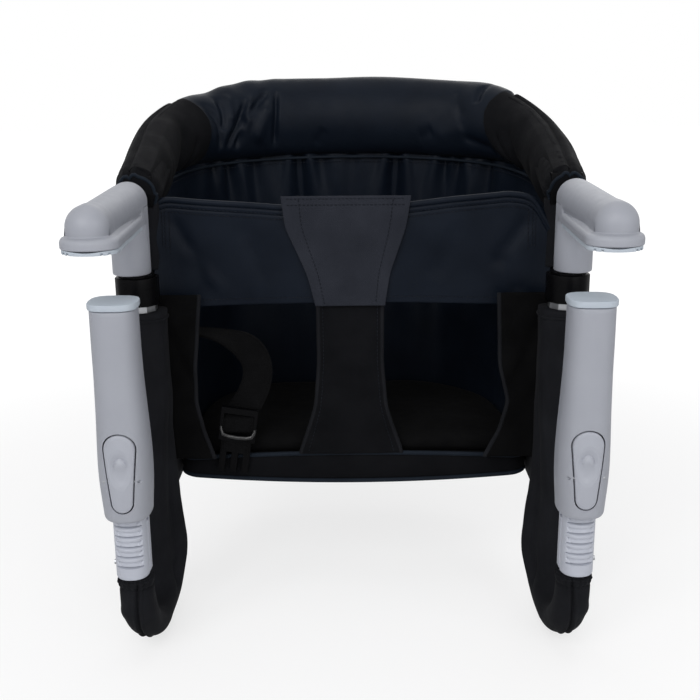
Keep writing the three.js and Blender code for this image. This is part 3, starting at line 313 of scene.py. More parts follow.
def round_tube(path, radius, sides=12):
    """Rings of a tube along a path, turned as little as possible from each point to the next."""
    path = np.asarray(path, float)
    along = unit(np.gradient(path, axis=0))
    side = np.cross(along[0], (0, 0, 1))
    if np.linalg.norm(side) < UPRIGHT_LIMIT:
        side = np.cross(along[0], (0, 1, 0))
    right = []
    for way in along:
        side = unit(side - way * np.dot(side, way))
        right.append(side)
    right = np.array(right)
    return tube_rings(path, right, np.cross(right, along), radius, sides)


def closed_roll(name, loop, radius, material, sides=10, body="seat"):
    """A roll of cloth along a closed loop of points."""
    along = unit(np.roll(loop, -1, 0) - np.roll(loop, 1, 0))
    right = unit(np.cross(along, (0, 0, 1.0)))
    rings = tube_rings(loop, right, np.cross(right, along), radius, sides)
    faces = quads(len(loop), sides, round_rows=True, round_columns=True)
    return finished(name, rings, faces, body, material, slot="outer_fabric")


# Stitches: one mesh of short raised threads along a line on the cloth
STITCH_PITCH = 3.2
STITCH_LENGTH = 2.3
STITCH_R = 0.32
STITCH_SIDES = 6
STITCH_SHARES = ((0, 0.25, -0.5), (0.2, 1, 0.4), (0.8, 1, 0.4), (1, 0.25, -0.5))
TOWARD_VIEWER = (0, -1, 0)


def stitches(name, line, out, material, pitch=STITCH_PITCH, length=STITCH_LENGTH, radius=STITCH_R):
    """Threads whose rings are set by shares of their length, radius and height."""
    line = np.asarray(line, float)
    run = run_along(line)
    out = np.broadcast_to(np.asarray(out, float), line.shape)
    points, faces = [], []
    last = (len(STITCH_SHARES) - 1) * STITCH_SIDES
    for at in np.arange(pitch / 2, run[-1] - pitch / 2, pitch):
        near, far = (at_run(run, line, at + shift) for shift in (-length / 2, length / 2))
        way = unit(far - near)
        up = at_run(run, out, at)
        up = unit(up - way * np.dot(up, way))
        right = np.cross(way, up)
        start = len(points)
        for along, wide, lift in STITCH_SHARES:
            middle = near + (far - near) * along + up * radius * lift
            for angle in around(STITCH_SIDES):
                points.append(middle + radius * wide * (np.cos(angle) * right + np.sin(angle) * up))
        faces += quads(len(STITCH_SHARES), STITCH_SIDES, round_columns=True, start=start)
        faces.append([start + k for k in range(STITCH_SIDES)][::-1])
        faces.append([start + last + k for k in range(STITCH_SIDES)])
    return finished(name, points, faces, "seat", material, slot="outer_fabric")


# Shapes changed by modifiers that are applied, and rounded edges
ROUND_STEPS = 3
ROUND_FROM = math.radians(40)


def applied(piece):
    """Bakes the piece's modifiers into its mesh."""
    shape = piece.evaluated_get(bpy.context.evaluated_depsgraph_get())
    mesh = bpy.data.meshes.new_from_object(shape)
    piece.modifiers.clear()
    piece.data = mesh
    return piece


def combined(piece, other, operation):
    """Joins another solid to a piece or cuts it out, and takes the other away."""
    modifier = piece.modifiers.new("shape", "BOOLEAN")
    modifier.operation = operation
    modifier.solver = "EXACT"
    modifier.object = other
    bpy.context.view_layer.update()
    applied(piece)
    bpy.data.objects.remove(other)
    return piece


def smooth_by_angle(piece, degrees):
    piece.data.shade_smooth()
    mesh = bmesh.new()
    mesh.from_mesh(piece.data)
    for edge in mesh.edges:
        if len(edge.link_faces) == 2 and edge.calc_face_angle(0) > math.radians(degrees):
            edge.smooth = False
    mesh.to_mesh(piece.data)
    mesh.free()
    return piece


def soften_edges(piece, size):
    modifier = piece.modifiers.new("rounded_edges", "BEVEL")
    modifier.width = size * MM
    modifier.segments = ROUND_STEPS
    modifier.limit_method = "ANGLE"
    modifier.angle_limit = ROUND_FROM
    return piece


def node_shape(name):
    """A held piece's corners in millimetres, and its faces."""
    node = NODES[name]
    points = [(node.matrix_world @ vertex.co) / MM for vertex in node.data.vertices]
    return points, [list(face.vertices) for face in node.data.polygons]


def rounded(name, body, material, size):
    """A held piece's shape with its edges rounded."""
    points, faces = node_shape(name)
    return soften_edges(finished(f"{name}_rounded", points, faces, body, material, name), size)


BOX_FACES = [[0, 1, 3, 2], [4, 6, 7, 5], [0, 4, 5, 1], [2, 3, 7, 6], [0, 2, 6, 4], [1, 5, 7, 3]]


def box_tool(xs, ys, zs, sign):
    """A box that cuts a notch or slot in a side's piece."""
    corners = np.array([(x, y, z) for x in xs for y in ys for z in zs], float)
    return finished("box_tool", mirrored(corners, sign), BOX_FACES, None, GREY)


def mirrored(points, sign):
    """From a side's own measures, outward from the leg's axis, to the frame's."""
    points = np.array(points, float)
    points[..., 0] = sign * (SIDE_X + points[..., 0])
    return points


# Materials: scales of the noises are in turns per metre, depths of the bumps in metres
NOISE_FROM = 0.3
NOISE_TO = 0.7
WAVE_SCALE_UNIT = 20


def new_material(name):
    material = bpy.data.materials.new(name)
    material.use_nodes = True
    tree = material.node_tree
    return material, tree, tree.nodes["Principled BSDF"]


def add_node(tree, kind, settings=None, **inputs):
    node = tree.nodes.new(kind)
    for key, value in (settings or {}).items():
        setattr(node, key, value)
    for key, value in inputs.items():
        feed(tree, node.inputs[key.replace("_", " ")], value)
    return node


def feed(tree, socket, value):
    if isinstance(value, bpy.types.NodeSocket):
        tree.links.new(value, socket)
    else:
        socket.default_value = value


def place(tree):
    return add_node(tree, "ShaderNodeTexCoord").outputs["Object"]


def noise(tree, scale, detail, rough=0.5):
    node = add_node(tree, "ShaderNodeTexNoise", Vector=place(tree), Scale=scale, Detail=detail,
                    Roughness=rough)
    return node.outputs["Fac"]


def ranged(tree, value, low, high):
    """A noise, taken to another range."""
    node = add_node(tree, "ShaderNodeMapRange", Value=value, From_Min=NOISE_FROM, From_Max=NOISE_TO,
                    To_Min=low, To_Max=high)
    return node.outputs["Result"]


def tinted(tree, shader, dark, light, factor):
    mix = add_node(tree, "ShaderNodeMix", {"data_type": "RGBA"})
    for index, value in ((0, factor), (6, (*dark, 1)), (7, (*light, 1))):
        feed(tree, mix.inputs[index], value)
    tree.links.new(mix.outputs[2], shader.inputs["Base Color"])


def raised(tree, shader, height, distance):
    node = add_node(tree, "ShaderNodeBump", Height=height, Strength=1.0, Distance=distance)
    tree.links.new(node.outputs["Normal"], shader.inputs["Normal"])


def added(tree, a, b, kind="ADD"):
    node = add_node(tree, "ShaderNodeMath", {"operation": kind})
    for socket, value in zip(node.inputs, (a, b)):
        feed(tree, socket, value)
    return node.outputs[0]


def weave(tree, pitch):
    """The over and under of a plain cloth, on faces that look any way."""
    turns = []
    for axis in "XYZ":
        wave = add_node(tree, "ShaderNodeTexWave", {"wave_type": "BANDS", "bands_direction": axis},
                        Vector=place(tree), Scale=math.pi / (WAVE_SCALE_UNIT * pitch * MM), Distortion=0.0)
        turns.append(wave.outputs["Fac"])
    pairs = [added(tree, turns[i], turns[j], "MULTIPLY") for i, j in ((0, 1), (1, 2), (2, 0))]
    return added(tree, added(tree, pairs[0], pairs[1]), pairs[2])


# Dark and light colour, roughness, depth of the grain and gloss
PLASTICS = {
    "grey_moulding": ((0.304, 0.316, 0.358), (0.336, 0.349, 0.391), 0.5, 0.00004, 0.5),
    # Painted light and shade: one grey plastic in three brightnesses, lighter on the rod and the lever than
    # on the covers and the sleeve
    "grey_moulding_lit_rod": ((0.430, 0.450, 0.515), (0.465, 0.486, 0.550), 0.42, 0.00002, 0.5),
    "grey_moulding_lit_lever": ((0.350, 0.364, 0.412), (0.382, 0.397, 0.446), 0.42, 0.00002, 0.5),
    "pale_rubber": ((0.42, 0.47, 0.53), (0.48, 0.53, 0.59), 0.62, 0.00006, 0.3),
    "black_moulding": ((0.0018, 0.0018, 0.0022), (0.0034, 0.0034, 0.004), 0.30, 0.00003, 0.05),
    "glossy_black_moulding": ((0.003, 0.003, 0.0036), (0.005, 0.005, 0.006), 0.14, 0.00001, 0.5),
}
# Dark and light colour, roughness, pitch of the weave in millimetres, sheen, depth of the weave and gloss
CLOTHS = {
    "matte_black_cloth": ((0.0082, 0.0086, 0.0104), (0.0128, 0.0134, 0.016), 0.8, 0.55, 0.010, 0.00012, 0.05),
    # Painted shade: a darker copy of the matt black cloth, for the rim, the side pads, the seat's base and
    # the crotch panel
    "painted_shade_outer_cloth": ((0.0031, 0.0033, 0.0042), (0.0052, 0.0054, 0.0067), 0.75, 0.5, 0.012, 0.00010, 0.05),
    # Painted shade: a darker copy of the matt black cloth, for the cushion and the gussets in shadow under
    # the table
    "painted_shade_black_cloth": ((0.0022, 0.0022, 0.0024), (0.0040, 0.0040, 0.0043), 0.8, 0.5, 0.006, 0.00010, 0.04),
    "dark_canvas": ((0.0185, 0.0205, 0.0275), (0.0265, 0.0290, 0.0380), 0.85, 0.8, 0.012, 0.00018, 0.05),
    "satin_navy_cloth": ((0.0036, 0.0059, 0.0110), (0.0060, 0.0091, 0.0158), 0.40, 0.4, 0.006, 0.00006, 0.07),
    # Piping: its own bluish black, made lighter as a painted highlight along the rolls
    "piping_with_painted_highlight": ((0.0068, 0.0098, 0.0150), (0.0115, 0.0162, 0.0240), 0.6, 0.7, 0.012, 0.00012, 0.06),
    "flat_webbing": ((0.0022, 0.0022, 0.0025), (0.0045, 0.0045, 0.0050), 0.8, 1.3, 0.010, 0.0003, 0.05),
    "black_thread": ((0.0035, 0.0048, 0.0080), (0.009, 0.011, 0.017), 0.6, 0.3, 0.02, 0.00012, 0.12),
}
STEEL_COLOUR = (0.42, 0.43, 0.45)
STEEL_ROUGHNESS = 0.4
STEEL_DARK_SHARE = 0.85
STEEL_GRAIN = 0.00003


def plastic(name):
    dark, light, roughness, grain, gloss = PLASTICS[name]
    material, tree, shader = new_material(name)
    tinted(tree, shader, dark, light, noise(tree, scale=35, detail=4))
    rough = ranged(tree, noise(tree, scale=160, detail=3), roughness - 0.05, roughness + 0.06)
    feed(tree, shader.inputs["Roughness"], rough)
    feed(tree, shader.inputs["Specular IOR Level"], gloss)
    raised(tree, shader, noise(tree, scale=1500, detail=3, rough=0.6), grain)
    return material


def cloth(name):
    """Woven cloth: a fine weave under a grain and a broader unevenness, with patches of shade and sheen."""
    dark, light, roughness, pitch, sheen, depth, gloss = CLOTHS[name]
    material, tree, shader = new_material(name)
    tinted(tree, shader, dark, light, ranged(tree, noise(tree, scale=28, detail=5), 0.0, 1.0))
    rough = ranged(tree, noise(tree, scale=90, detail=4), roughness - 0.06, roughness + 0.08)
    feed(tree, shader.inputs["Roughness"], rough)
    feed(tree, shader.inputs["Sheen Weight"], sheen)
    feed(tree, shader.inputs["Sheen Roughness"], 0.45)
    feed(tree, shader.inputs["Sheen Tint"], (1, 1, 1, 1))
    feed(tree, shader.inputs["Specular IOR Level"], gloss)
    fine = added(tree, noise(tree, scale=1100, detail=3, rough=0.7), 1.5, "MULTIPLY")
    grain = added(tree, fine, noise(tree, scale=160, detail=4))
    raised(tree, shader, added(tree, added(tree, weave(tree, pitch), 0.3, "MULTIPLY"), grain), depth)
    return material


def metal(name):
    material, tree, shader = new_material(name)
    dark = [part * STEEL_DARK_SHARE for part in STEEL_COLOUR]
    tinted(tree, shader, dark, STEEL_COLOUR, noise(tree, scale=60, detail=3))
    rough = ranged(tree, noise(tree, scale=300, detail=3), STEEL_ROUGHNESS - 0.08, STEEL_ROUGHNESS + 0.1)
    feed(tree, shader.inputs["Metallic"], 1.0)
    feed(tree, shader.inputs["Roughness"], rough)
    raised(tree, shader, noise(tree, scale=700, detail=2), STEEL_GRAIN)
    return material


GREY = plastic("grey_moulding")
# Painted light: the rod's and the lever's greys are lighter copies of the same grey plastic
GREY_LIT_ROD = plastic("grey_moulding_lit_rod")
GREY_LIT_LEVER = plastic("grey_moulding_lit_lever")
PAD_GREY = plastic("pale_rubber")
BLACK = plastic("black_moulding")
GLOSS = plastic("glossy_black_moulding")
STEEL = metal("plain_steel")
OUTER = cloth("matte_black_cloth")
# Painted shade: a darker copy of the matt black cloth
SHADE_DARKENED_OUTER = cloth("painted_shade_outer_cloth")
# SHADED is painted shade: darker than the matt black cloth, for parts in shadow
SHADED = cloth("painted_shade_black_cloth")
CANVAS = cloth("dark_canvas")
SATIN = cloth("satin_navy_cloth")
# The piping's colour is partly its own bluish black and partly painted highlight
PIPING = cloth("piping_with_painted_highlight")
BELT = cloth("flat_webbing")
THREAD = cloth("black_thread")


# Plan of the hoop and of the tub, from 0 at the left front to 1 at the right front
def plan(place_on, half=SIDE_X, back_y=HOOP_BACK_Y, front_y=TUB_FRONT_Y):
    """Straight sides from the front to the turn, and a squared half round behind them."""
    t = np.asarray(place_on, float)
    side = np.where(t < 0.5, t, 1 - t) / SIDE_SHARE
    sign = np.where(t < 0.5, -1.0, 1.0)
    angle = np.pi * (1 - (np.clip(t, SIDE_SHARE, 1 - SIDE_SHARE) - SIDE_SHARE) / (1 - 2 * SIDE_SHARE))
    across = np.abs(np.cos(angle) / half) ** PLAN_POWER
    ahead = (np.sin(angle) / (back_y - TURN_Y)) ** PLAN_POWER
    reach = (across + ahead) ** (-1 / PLAN_POWER)
    straight = side < 1
    x = np.where(straight, sign * half, reach * np.cos(angle))
    y = np.where(straight, front_y + (TURN_Y - front_y) * side, TURN_Y + reach * np.sin(angle))
    return x - BACK_SHIFT * rise(y, TURN_Y, BACK_SHIFT_SPAN), y


FINE_PLACES = 4000


def even_places(count, low=0.0, high=1.0, front_y=TUB_FRONT_Y):
    """Places on the plan that lie evenly along the hoop."""
    fine = np.linspace(low, high, FINE_PLACES)
    run = run_along(np.stack(plan(fine, front_y=front_y), -1))
    return np.interp(np.linspace(0, run[-1], count), run, fine)


def hoop_z(y):
    return HOOP_FRONT_Z + (y - HOOP_FRONT_Y) * HOOP_SLOPE


NEAR_PLACE = 1e-4


def wall(places, heights, inward, front_y=TUB_FRONT_Y):
    """Points of the tub's wall, in rows up it, at heights and a depth from its outer face."""
    x_top, y_top = plan(places, front_y=front_y)
    x_low, y_low = plan(places, TUB_LOW_HALF, TUB_LOW_BACK_Y, front_y)
    ahead = plan(np.asarray(places) + NEAR_PLACE, front_y=front_y)
    behind = plan(np.asarray(places) - NEAR_PLACE, front_y=front_y)
    nx, ny = ahead[1] - behind[1], behind[0] - ahead[0]
    size = np.hypot(nx, ny)
    up = (heights - PAN_LOW_Z) / (hoop_z(y_top) - PAN_LOW_Z)
    x = x_low + (x_top - x_low) * up + inward * (nx / size)
    y = y_low + (y_top - y_low) * up + inward * (ny / size)
    return np.stack([x, y, heights + 0 * x], -1)


def cut_cloth(piece):
    return piece


# The tub's outer shell
SHELL_IN = 1.3
SHELL_THICK = 2.2
SHELL_SAG = 2.2
SHELL_WAVE = 0.72
SHELL_WAVE_SIZE = 130
SHELL_RUN = 1000
SHELL_TOP_SHARE = 0.75


def tub_shell():
    places = even_places(260)
    share = column(90)
    top = (hoop_z(plan(places)[1]) - RIM_R * SHELL_TOP_SHARE)[None]
    heights = PAN_LOW_Z + (top - PAN_LOW_Z) * share
    belly = np.sin(np.pi * share)
    sag = SHELL_SAG * belly * np.abs(np.sin(np.pi * places[None]))
    waves = SHELL_WAVE * belly * ripples(places[None] * SHELL_RUN, heights, SHELL_WAVE_SIZE, 3)
    grid = wall(places[None] + 0 * share, heights, SHELL_IN - sag - waves)
    return cut_cloth(sheet("seat_shell", grid, SHELL_THICK, "seat", OUTER, "tub_shell"))


# The padded rim round the hoop. Angles go round it from the inner side, over the top.
SEAM_SIDE_Z = 25
SEAM_BACK_Z = 37
BAND_FROM = 0.258
BAND_TO = 0.727
BAND_LAP = 0.012
BAND_EDGE = 0.01
RIM_FRONT_Y = 40.2
RIM_SIDES = 56
RIM_SIDE_PUFF = 2.6
RIM_LEFT_PUFF = 0.9
RIM_BACK_PUFF = 0.6
RIM_CORNERS = ((3.0, 0.705, 0.035), (-2.0, 0.295, 0.045))
RIM_WAVE = 0.3
RIM_SEAM_DEPTH = 3.2
RIM_SEAM_LIP = 0.8
RIM_UNDER_FROM = math.radians(186)
RIM_UNDER_TO = math.radians(300)
RIM_TUCK = 5
RIM_SIDE_TUCK = 2
RIM_END_TUCK = 6.2
RIM_END_LENGTH = 13
RIM_FOLDS = ((11, 1.0), (19, 0.8), (30, 1.0), (46, 0.6))
RIM_FOLD_ANGLES = (math.radians(70), math.radians(160))
RIM_FOLD_WIDE = 1.8
RIM_FOLD_LEAN = 3
BINDING_R = 1.4


def seam_z(places):
    return SEAM_SIDE_Z + (SEAM_BACK_Z - SEAM_SIDE_Z) * np.sin(np.pi * places) ** 2


def rim_radius(places):
    """The padded rim is thicker along the sides, and fullest at the right rear corner."""
    sides = RIM_R + RIM_SIDE_PUFF + RIM_LEFT_PUFF * (places < 0.5)
    back = RIM_R + RIM_BACK_PUFF
    share = rise(np.sin(np.pi * places), 0.45, 0.5)
    corners = sum(size * bump(places, middle, width) for size, middle, width in RIM_CORNERS)
    return sides + (back - sides) * share + corners


def rim_seam(places):
    """The angle of the rim's seam: past the top on the left, nearly at the top on the right."""
    return np.radians(108 - 12 * rise(places, 0.4, 0.2))


def rim_cover():
    """Cloth round the hoop, with its seam, drawn in under the headrest and closed behind each arm."""
    places = even_places(460, front_y=RIM_FRONT_Y)
    x, y = plan(places, front_y=RIM_FRONT_Y)
    angle = around(RIM_SIDES)[None]
    along = column(len(places), 0, HOOP_LENGTH)
    end = np.minimum(along, HOOP_LENGTH - along)
    radius = rim_radius(places)[:, None] + RIM_WAVE * ripples(along, angle * RIM_R, 50, 8)
    seam = rim_seam(places)[:, None]
    radius = radius - RIM_SEAM_DEPTH * bump(angle, seam, 0.09) + RIM_SEAM_LIP * bump(angle, seam + 0.26, 0.14)
    banded = rise(places, BAND_FROM - BAND_LAP, BAND_EDGE) * fall(places, BAND_TO + BAND_LAP, BAND_EDGE)
    banded = banded[:, None]
    under = np.clip(fall(angle, RIM_UNDER_FROM, 0.2) + rise(angle, RIM_UNDER_TO, 0.3), 0, 1)
    radius = radius - RIM_TUCK * banded * under - RIM_SIDE_TUCK * fall(angle, seam - 0.3, 0.2) * (1 - banded)
    closing = np.clip(1 - end / RIM_END_LENGTH, 0, 1)
    radius = radius - RIM_END_TUCK * (1 - np.sqrt(1 - closing ** 2))
    fade = sum(bump(angle, at, 0.5) for at in RIM_FOLD_ANGLES)
    for reach, depth in RIM_FOLDS:
        radius = radius - depth * bump(end, reach + RIM_FOLD_LEAN * np.sin(angle * 2), RIM_FOLD_WIDE) * fade
    rings = round_tube(np.stack([x, y, hoop_z(y)], -1), radius, RIM_SIDES)
    # The rim's darker cloth is painted shade
    cover = skin("rim_cover", rings, "seat", SHADE_DARKENED_OUTER, "rim_sleeve")
    for name, at_ring in (("left", 1), ("right", -2)):
        closed_roll(f"{name}_arm_binding", rings[at_ring], BINDING_R, PIPING)
    return cover


# The pleated lining. Each pleat has its place across, depth and width.
PLEATS = ((-137, 4.0, 3.6), (-123, 7.5, 4.0), (-97, 3.6, 4), (-52, 9.5, 4.2), (-30, 2.6, 5), (1, 2.4, 5),
          (44, 9.5, 4.2), (94, 7.5, 4.0), (106, 6.5, 3.8), (136, 6.0, 4.0))
LINING_IN = 6.5
LINING_LEAST_IN = 1.6
LINING_THICK = 2.0
LINING_FRONT_BACK = 14
LINING_TUCK = 3
LINING_RUN = 620
LINING_BELLY = 1.6
LINING_WAVE = 0.8
LINING_TOP_SHARE = 0.9
PLEATS_BEHIND_Y = 140
PLEAT_LEAN_SHARE = 0.05
PLEAT_LEFT_SHARE = 0.35
PLEAT_SIDE_SHARE = 0.4
PLEAT_SPREAD = 60
PLEAT_START = 8
PLEAT_FADE = 70
SEAT_GAP = 0.5


def tub_lining():
    """Gathered cloth: pleats start under the headrest's seam and open downward."""
    front_y = TUB_FRONT_Y + LINING_FRONT_BACK
    places = even_places(420, front_y=front_y)
    share = column(90)
    x, y = plan(places, front_y=front_y)
    top = np.minimum(seam_z(places) + LINING_TUCK, hoop_z(y) - RIM_R * LINING_TOP_SHARE)[None]
    low = PAN_TOP_Z + SEAT_GAP
    heights = low + (top - low) * share
    drop = top - heights
    belly = np.sin(np.pi * share)
    waves = LINING_WAVE * ripples(places[None] * LINING_RUN, heights, 70, 5) * belly
    relief = LINING_BELLY * belly ** 0.6 + waves
    left = PLEAT_LEFT_SHARE + (1 - PLEAT_LEFT_SHARE) * np.exp(-drop / PLEAT_FADE)
    fade = eased(drop / PLEAT_START) * left
    for x_pleat, depth, width in PLEATS:
        across = x[None] - x_pleat + PLEAT_LEAN_SHARE * drop * np.sign(x_pleat)
        wide = width * (1 + drop / PLEAT_SPREAD)
        fold = PLEAT_SIDE_SHARE * bump(np.abs(across), 2.2 * wide, wide) - bump(across, 0, wide)
        relief = relief + depth * fade * fold * (y[None] > PLEATS_BEHIND_Y)
    inward = np.maximum(LINING_IN + relief, LINING_LEAST_IN)
    grid = wall(places[None] + 0 * share, heights, inward, front_y)
    return cut_cloth(sheet("tub_inner", grid, LINING_THICK, "seat", SATIN, "tub_lining"))


# Pads on the wall and over the rim: the headrest and the matt pads beside it
PAD_PROUD = 0.9
PAD_MEETS = math.radians(52)
PAD_SEAM_IN = 6.0
PAD_FOOT_IN = 3.0
PAD_FULL = 20
PAD_THICK = 3.6
PAD_TUCK = 7
PAD_EDGE_DEPTH = 2.2
PAD_EDGE_WIDE = 0.13
PAD_REACH_SHARE = 0.42
PAD_TOP_SHARE = 1.1
PAD_HOLD_SHARES = (0.06, 0.1)


def padded_wall(name, places, low, fullness, tuck, over, relief, lean_ends, material, *replaced):
    """A pad that rises from a seam on the wall, swells inward and is drawn over the rim to an angle."""
    x, y = plan(places)
    middle = hoop_z(y)
    radius = rim_radius(places) + PAD_PROUD - tuck
    top_in, top_z = radius * math.cos(PAD_MEETS), middle + radius * math.sin(PAD_MEETS)
    reach = PAD_REACH_SHARE * (top_z - low)
    lean_in = math.sin(PAD_MEETS) * reach * fullness / PAD_FULL
    lean_down = math.cos(PAD_MEETS) * reach * PAD_TOP_SHARE
    swell = bezier([
        np.stack([np.full(len(places), PAD_SEAM_IN), low], -1),
        np.stack([PAD_SEAM_IN + fullness, low + 1], -1),
        np.stack([top_in + lean_in, top_z - lean_down], -1),
        np.stack([top_in, top_z], -1),
    ], 60)
    over = np.broadcast_to(over, x.shape)
    turn = np.linspace(PAD_MEETS + 0 * over, over, 26)[1:]
    drawn = radius - PAD_EDGE_DEPTH * bump(turn, over, PAD_EDGE_WIDE)
    wrap = np.stack([drawn * np.cos(turn), middle + drawn * np.sin(turn)], -1)
    front = np.concatenate([swell, wrap])
    step = unit(np.gradient(front, axis=0))
    out = np.stack([step[..., 1], -step[..., 0]], -1)
    run = row(len(places))
    share = column(len(front))
    hold = np.clip(share / PAD_HOLD_SHARES[0], 0, 1) * np.clip((1 - share) / PAD_HOLD_SHARES[1], 0, 1)
    front = front + out * (relief(run, front[..., 1], x[None]) * hold)[..., None]
    turn = np.linspace(over, PAD_MEETS + 0 * over, 10)
    inner = radius - PAD_THICK
    back = np.stack([inner * np.cos(turn), middle + inner * np.sin(turn)], -1)
    foot = np.stack([np.full(len(places), PAD_FOOT_IN), low], -1)[None]
    outline = np.concatenate([front, back, foot])
    height = np.clip((outline[..., 1] - low) / (middle + radius - low), 0, 1)
    grid = wall(places[None] + lean_ends(run, height), outline[..., 1], outline[..., 0])
    return skin(name, np.swapaxes(grid, 0, 1), "seat", material, *replaced)


# Folds: from one place across and up to another, the width and the depth
HEADREST_FOLDS = (
    ((-152, 88), (-138, 40), 3.5, -3.4), ((-134, 92), (-140, 58), 3.2, -3.4),
    ((-104, 90), (-134, 42), 4.2, -5.0), ((-95, 92), (-119, 52), 5.5, 3.6),
    ((-79, 96), (-111, 70), 4.2, -4.4), ((-108, 76), (-122, 40), 4.2, -4.0),
    ((-80, 86), (-100, 46), 7, 3.2), ((-73, 98), (-78, 40), 2.8, -3.8), ((-124, 94), (-128, 66), 4, 2.0),
    ((-36, 44), (-24, 60), 5, -1.0), ((66, 50), (84, 58), 6, -1.4), ((129, 100), (133, 82), 3, -3.0),
    ((104, 94), (119, 68), 6, -1.4), ((109, 53), (140, 40), 5, -2.4), ((84, 50), (118, 62), 7, 1.2),
)
SIDE_PAD_FOLDS = (
    ((150, 10), (215, 70), 9, -2.2), ((60, -2), (120, 40), 8, -1.6), ((20, -6), (40, 30), 4, -1.4),
    ((200, 12), (238, 60), 6, -2.2),
)
# How far the join of headrest and side pad leans along the hoop up its height, in thousandths of the hoop
LEANS = {"left": (-8, 2, 8, 14, 17, 16, 10, 0), "right": (64, 40, 20, 6, -3, -8, -7, 0)}
LEAN_UNIT = 1000
HEADREST_HIDDEN = 0.010
HEADREST_OVER = math.radians(196)
HEADREST_SEAM_DROP = 2
HEADREST_END_SHARE = 0.25
SIDE_PAD_LENGTH = 280
SIDE_PAD_LEAN_SHARE = 0.6
SIDE_PAD_SEAM_GAP = 0.05
# Places where each side pad starts and stops, its end's length and sharpness, and its swell by the headrest
SIDE_PADS = {
    "left": (0.004, BAND_FROM + 0.004, 0.007, 0.35, 7.4, 0.09, 0.07),
    "right": (BAND_TO - 0.012, 0.996, 0.016, 0.6, 10, 0.10, 0.08),
}


def end_lean(height, side):
    """How far a fold between the headrest and a side pad leans along the hoop, up its height."""
    table = LEANS[side]
    return np.interp(height, np.linspace(0, 1, len(table)), table) / LEAN_UNIT


def pad_end(reach, length, sharpness):
    """How full a pad is near its end: nothing at the end itself, full a short way in."""
    return np.clip(reach / length, 0, 1) ** sharpness


def headrest():
    """The padded band. It hangs over its lower seam and runs under the side pads' ends and over the rim."""
    places = even_places(440, BAND_FROM - HEADREST_HIDDEN, BAND_TO + HEADREST_HIDDEN)
    ends = pad_end(places - places[0], 0.006, 0.5) * pad_end(places[-1] - places, 0.007, 0.5)

    def relief(_, height, across):
        left = fall(across, -50, 40)
        total = 0.5 * ripples(across, height, 75, 21)
        total = total + 0.8 * left * ripples(across + 0.7 * height, 0.25 * height, 34, 22)
        return total + creases(across, height, HEADREST_FOLDS)

    def lean(along, height):
        left = end_lean(height, "left") * fall(along, HEADREST_END_SHARE, HEADREST_END_SHARE)
        return left + end_lean(height, "right") * rise(along, 1 - HEADREST_END_SHARE, HEADREST_END_SHARE)

    low = seam_z(places) - HEADREST_SEAM_DROP + 1.5 * (1 - ends)
    return padded_wall("headrest_pad", places, low, 1 + PAD_FULL * ends, PAD_TUCK * (1 - ends), HEADREST_OVER,
                       relief, lean, SATIN, "headrest_band")


SEAM_ROLL_DROP = 4.5
SEAM_ROLL_IN = 11.0
SEAM_ROLL_R = 1.3
SEAM_STITCH_DROP = 9
SEAM_STITCH_IN = 10.6
SEAM_FROM_SHARE = 0.12


def seam_piping():
    """The roll and the row of stitches along the headrest's lower seam."""
    places = even_places(260, SEAM_FROM_SHARE, 1 - SEAM_FROM_SHARE)
    roll = wall(places, seam_z(places) - SEAM_ROLL_DROP, SEAM_ROLL_IN)
    skin("headrest_piping", round_tube(roll, SEAM_ROLL_R, 10), "seat", PIPING, slot="lining_fabric")
    under = wall(places, seam_z(places) - SEAM_STITCH_DROP, SEAM_STITCH_IN)
    inward = wall(places, seam_z(places) - SEAM_STITCH_DROP, SEAM_STITCH_IN + 1) - under
    stitches("headrest_seam_stitches", under, inward, THREAD)


def side_pad(side, sign):
    """Matt padded cloth inside the tub's arm, from the headrest's end to the front."""
    start, stop, end_length, sharpness, swell, swell_from, swell_span = SIDE_PADS[side]
    places = even_places(220, start, stop)
    from_back = np.abs(places - (places[-1] if sign < 0 else places[0]))
    y = plan(places)[1]
    fold = pad_end(from_back, end_length, sharpness)
    low = np.minimum(seam_z(places) - HEADREST_SEAM_DROP, hoop_z(y) - 30)
    fullness = 1 + (2 + 12 * rise(y, 58, 40) + swell * fall(from_back, swell_from, swell_span)) * fold

    def to_back(along):
        return along if sign < 0 else 1 - along

    def relief(along, height, _):
        far = to_back(along) * SIDE_PAD_LENGTH
        return 0.6 * ripples(far, height, 75, 31 + sign) + creases(far, height, SIDE_PAD_FOLDS)

    def lean(along, height):
        return end_lean(height, side) * rise(to_back(along), SIDE_PAD_LEAN_SHARE, 1 - SIDE_PAD_LEAN_SHARE)

    over = rim_seam(places) - SIDE_PAD_SEAM_GAP
    # The side pad's darker cloth is painted shade
    pad = padded_wall(f"{side}_side_pad", places, low, fullness, PAD_TUCK * (1 - fold), over, relief, lean,
                      SHADE_DARKENED_OUTER)


# Seat: the base in its pocket, with piping, and the cushion on it
SEAT_CORNER = 14
SEAT_WALL_IN = 3.5
SEAT_FRONT_Y = 49
BASE_IN = 1.5
BASE_PIPING_R = 1.9
BASE_TOP_DROP = 3
BASE_TOP_CROWN = 4.5
BASE_LOW_RISE = 5
BASE_LOW_CROWN = 7
BASE_HALF = 150
BASE_FRONT_REACH = 120
BASE_FRONT_SPAN = 60
# Share of the way up the base's side, and how far it is drawn in there
BASE_SIDE = ((0, 6), (0, 0.5), (0.15, -0.7), (0.5, -1.6), (0.85, -0.7), (1, 0.5), (1, 6))
CUSHION_IN = 10.5
CUSHION_FRONT_Y = 56
CUSHION_MIDDLE = (0, 145.0)
CUSHION_INMOST_SHARE = 0.9
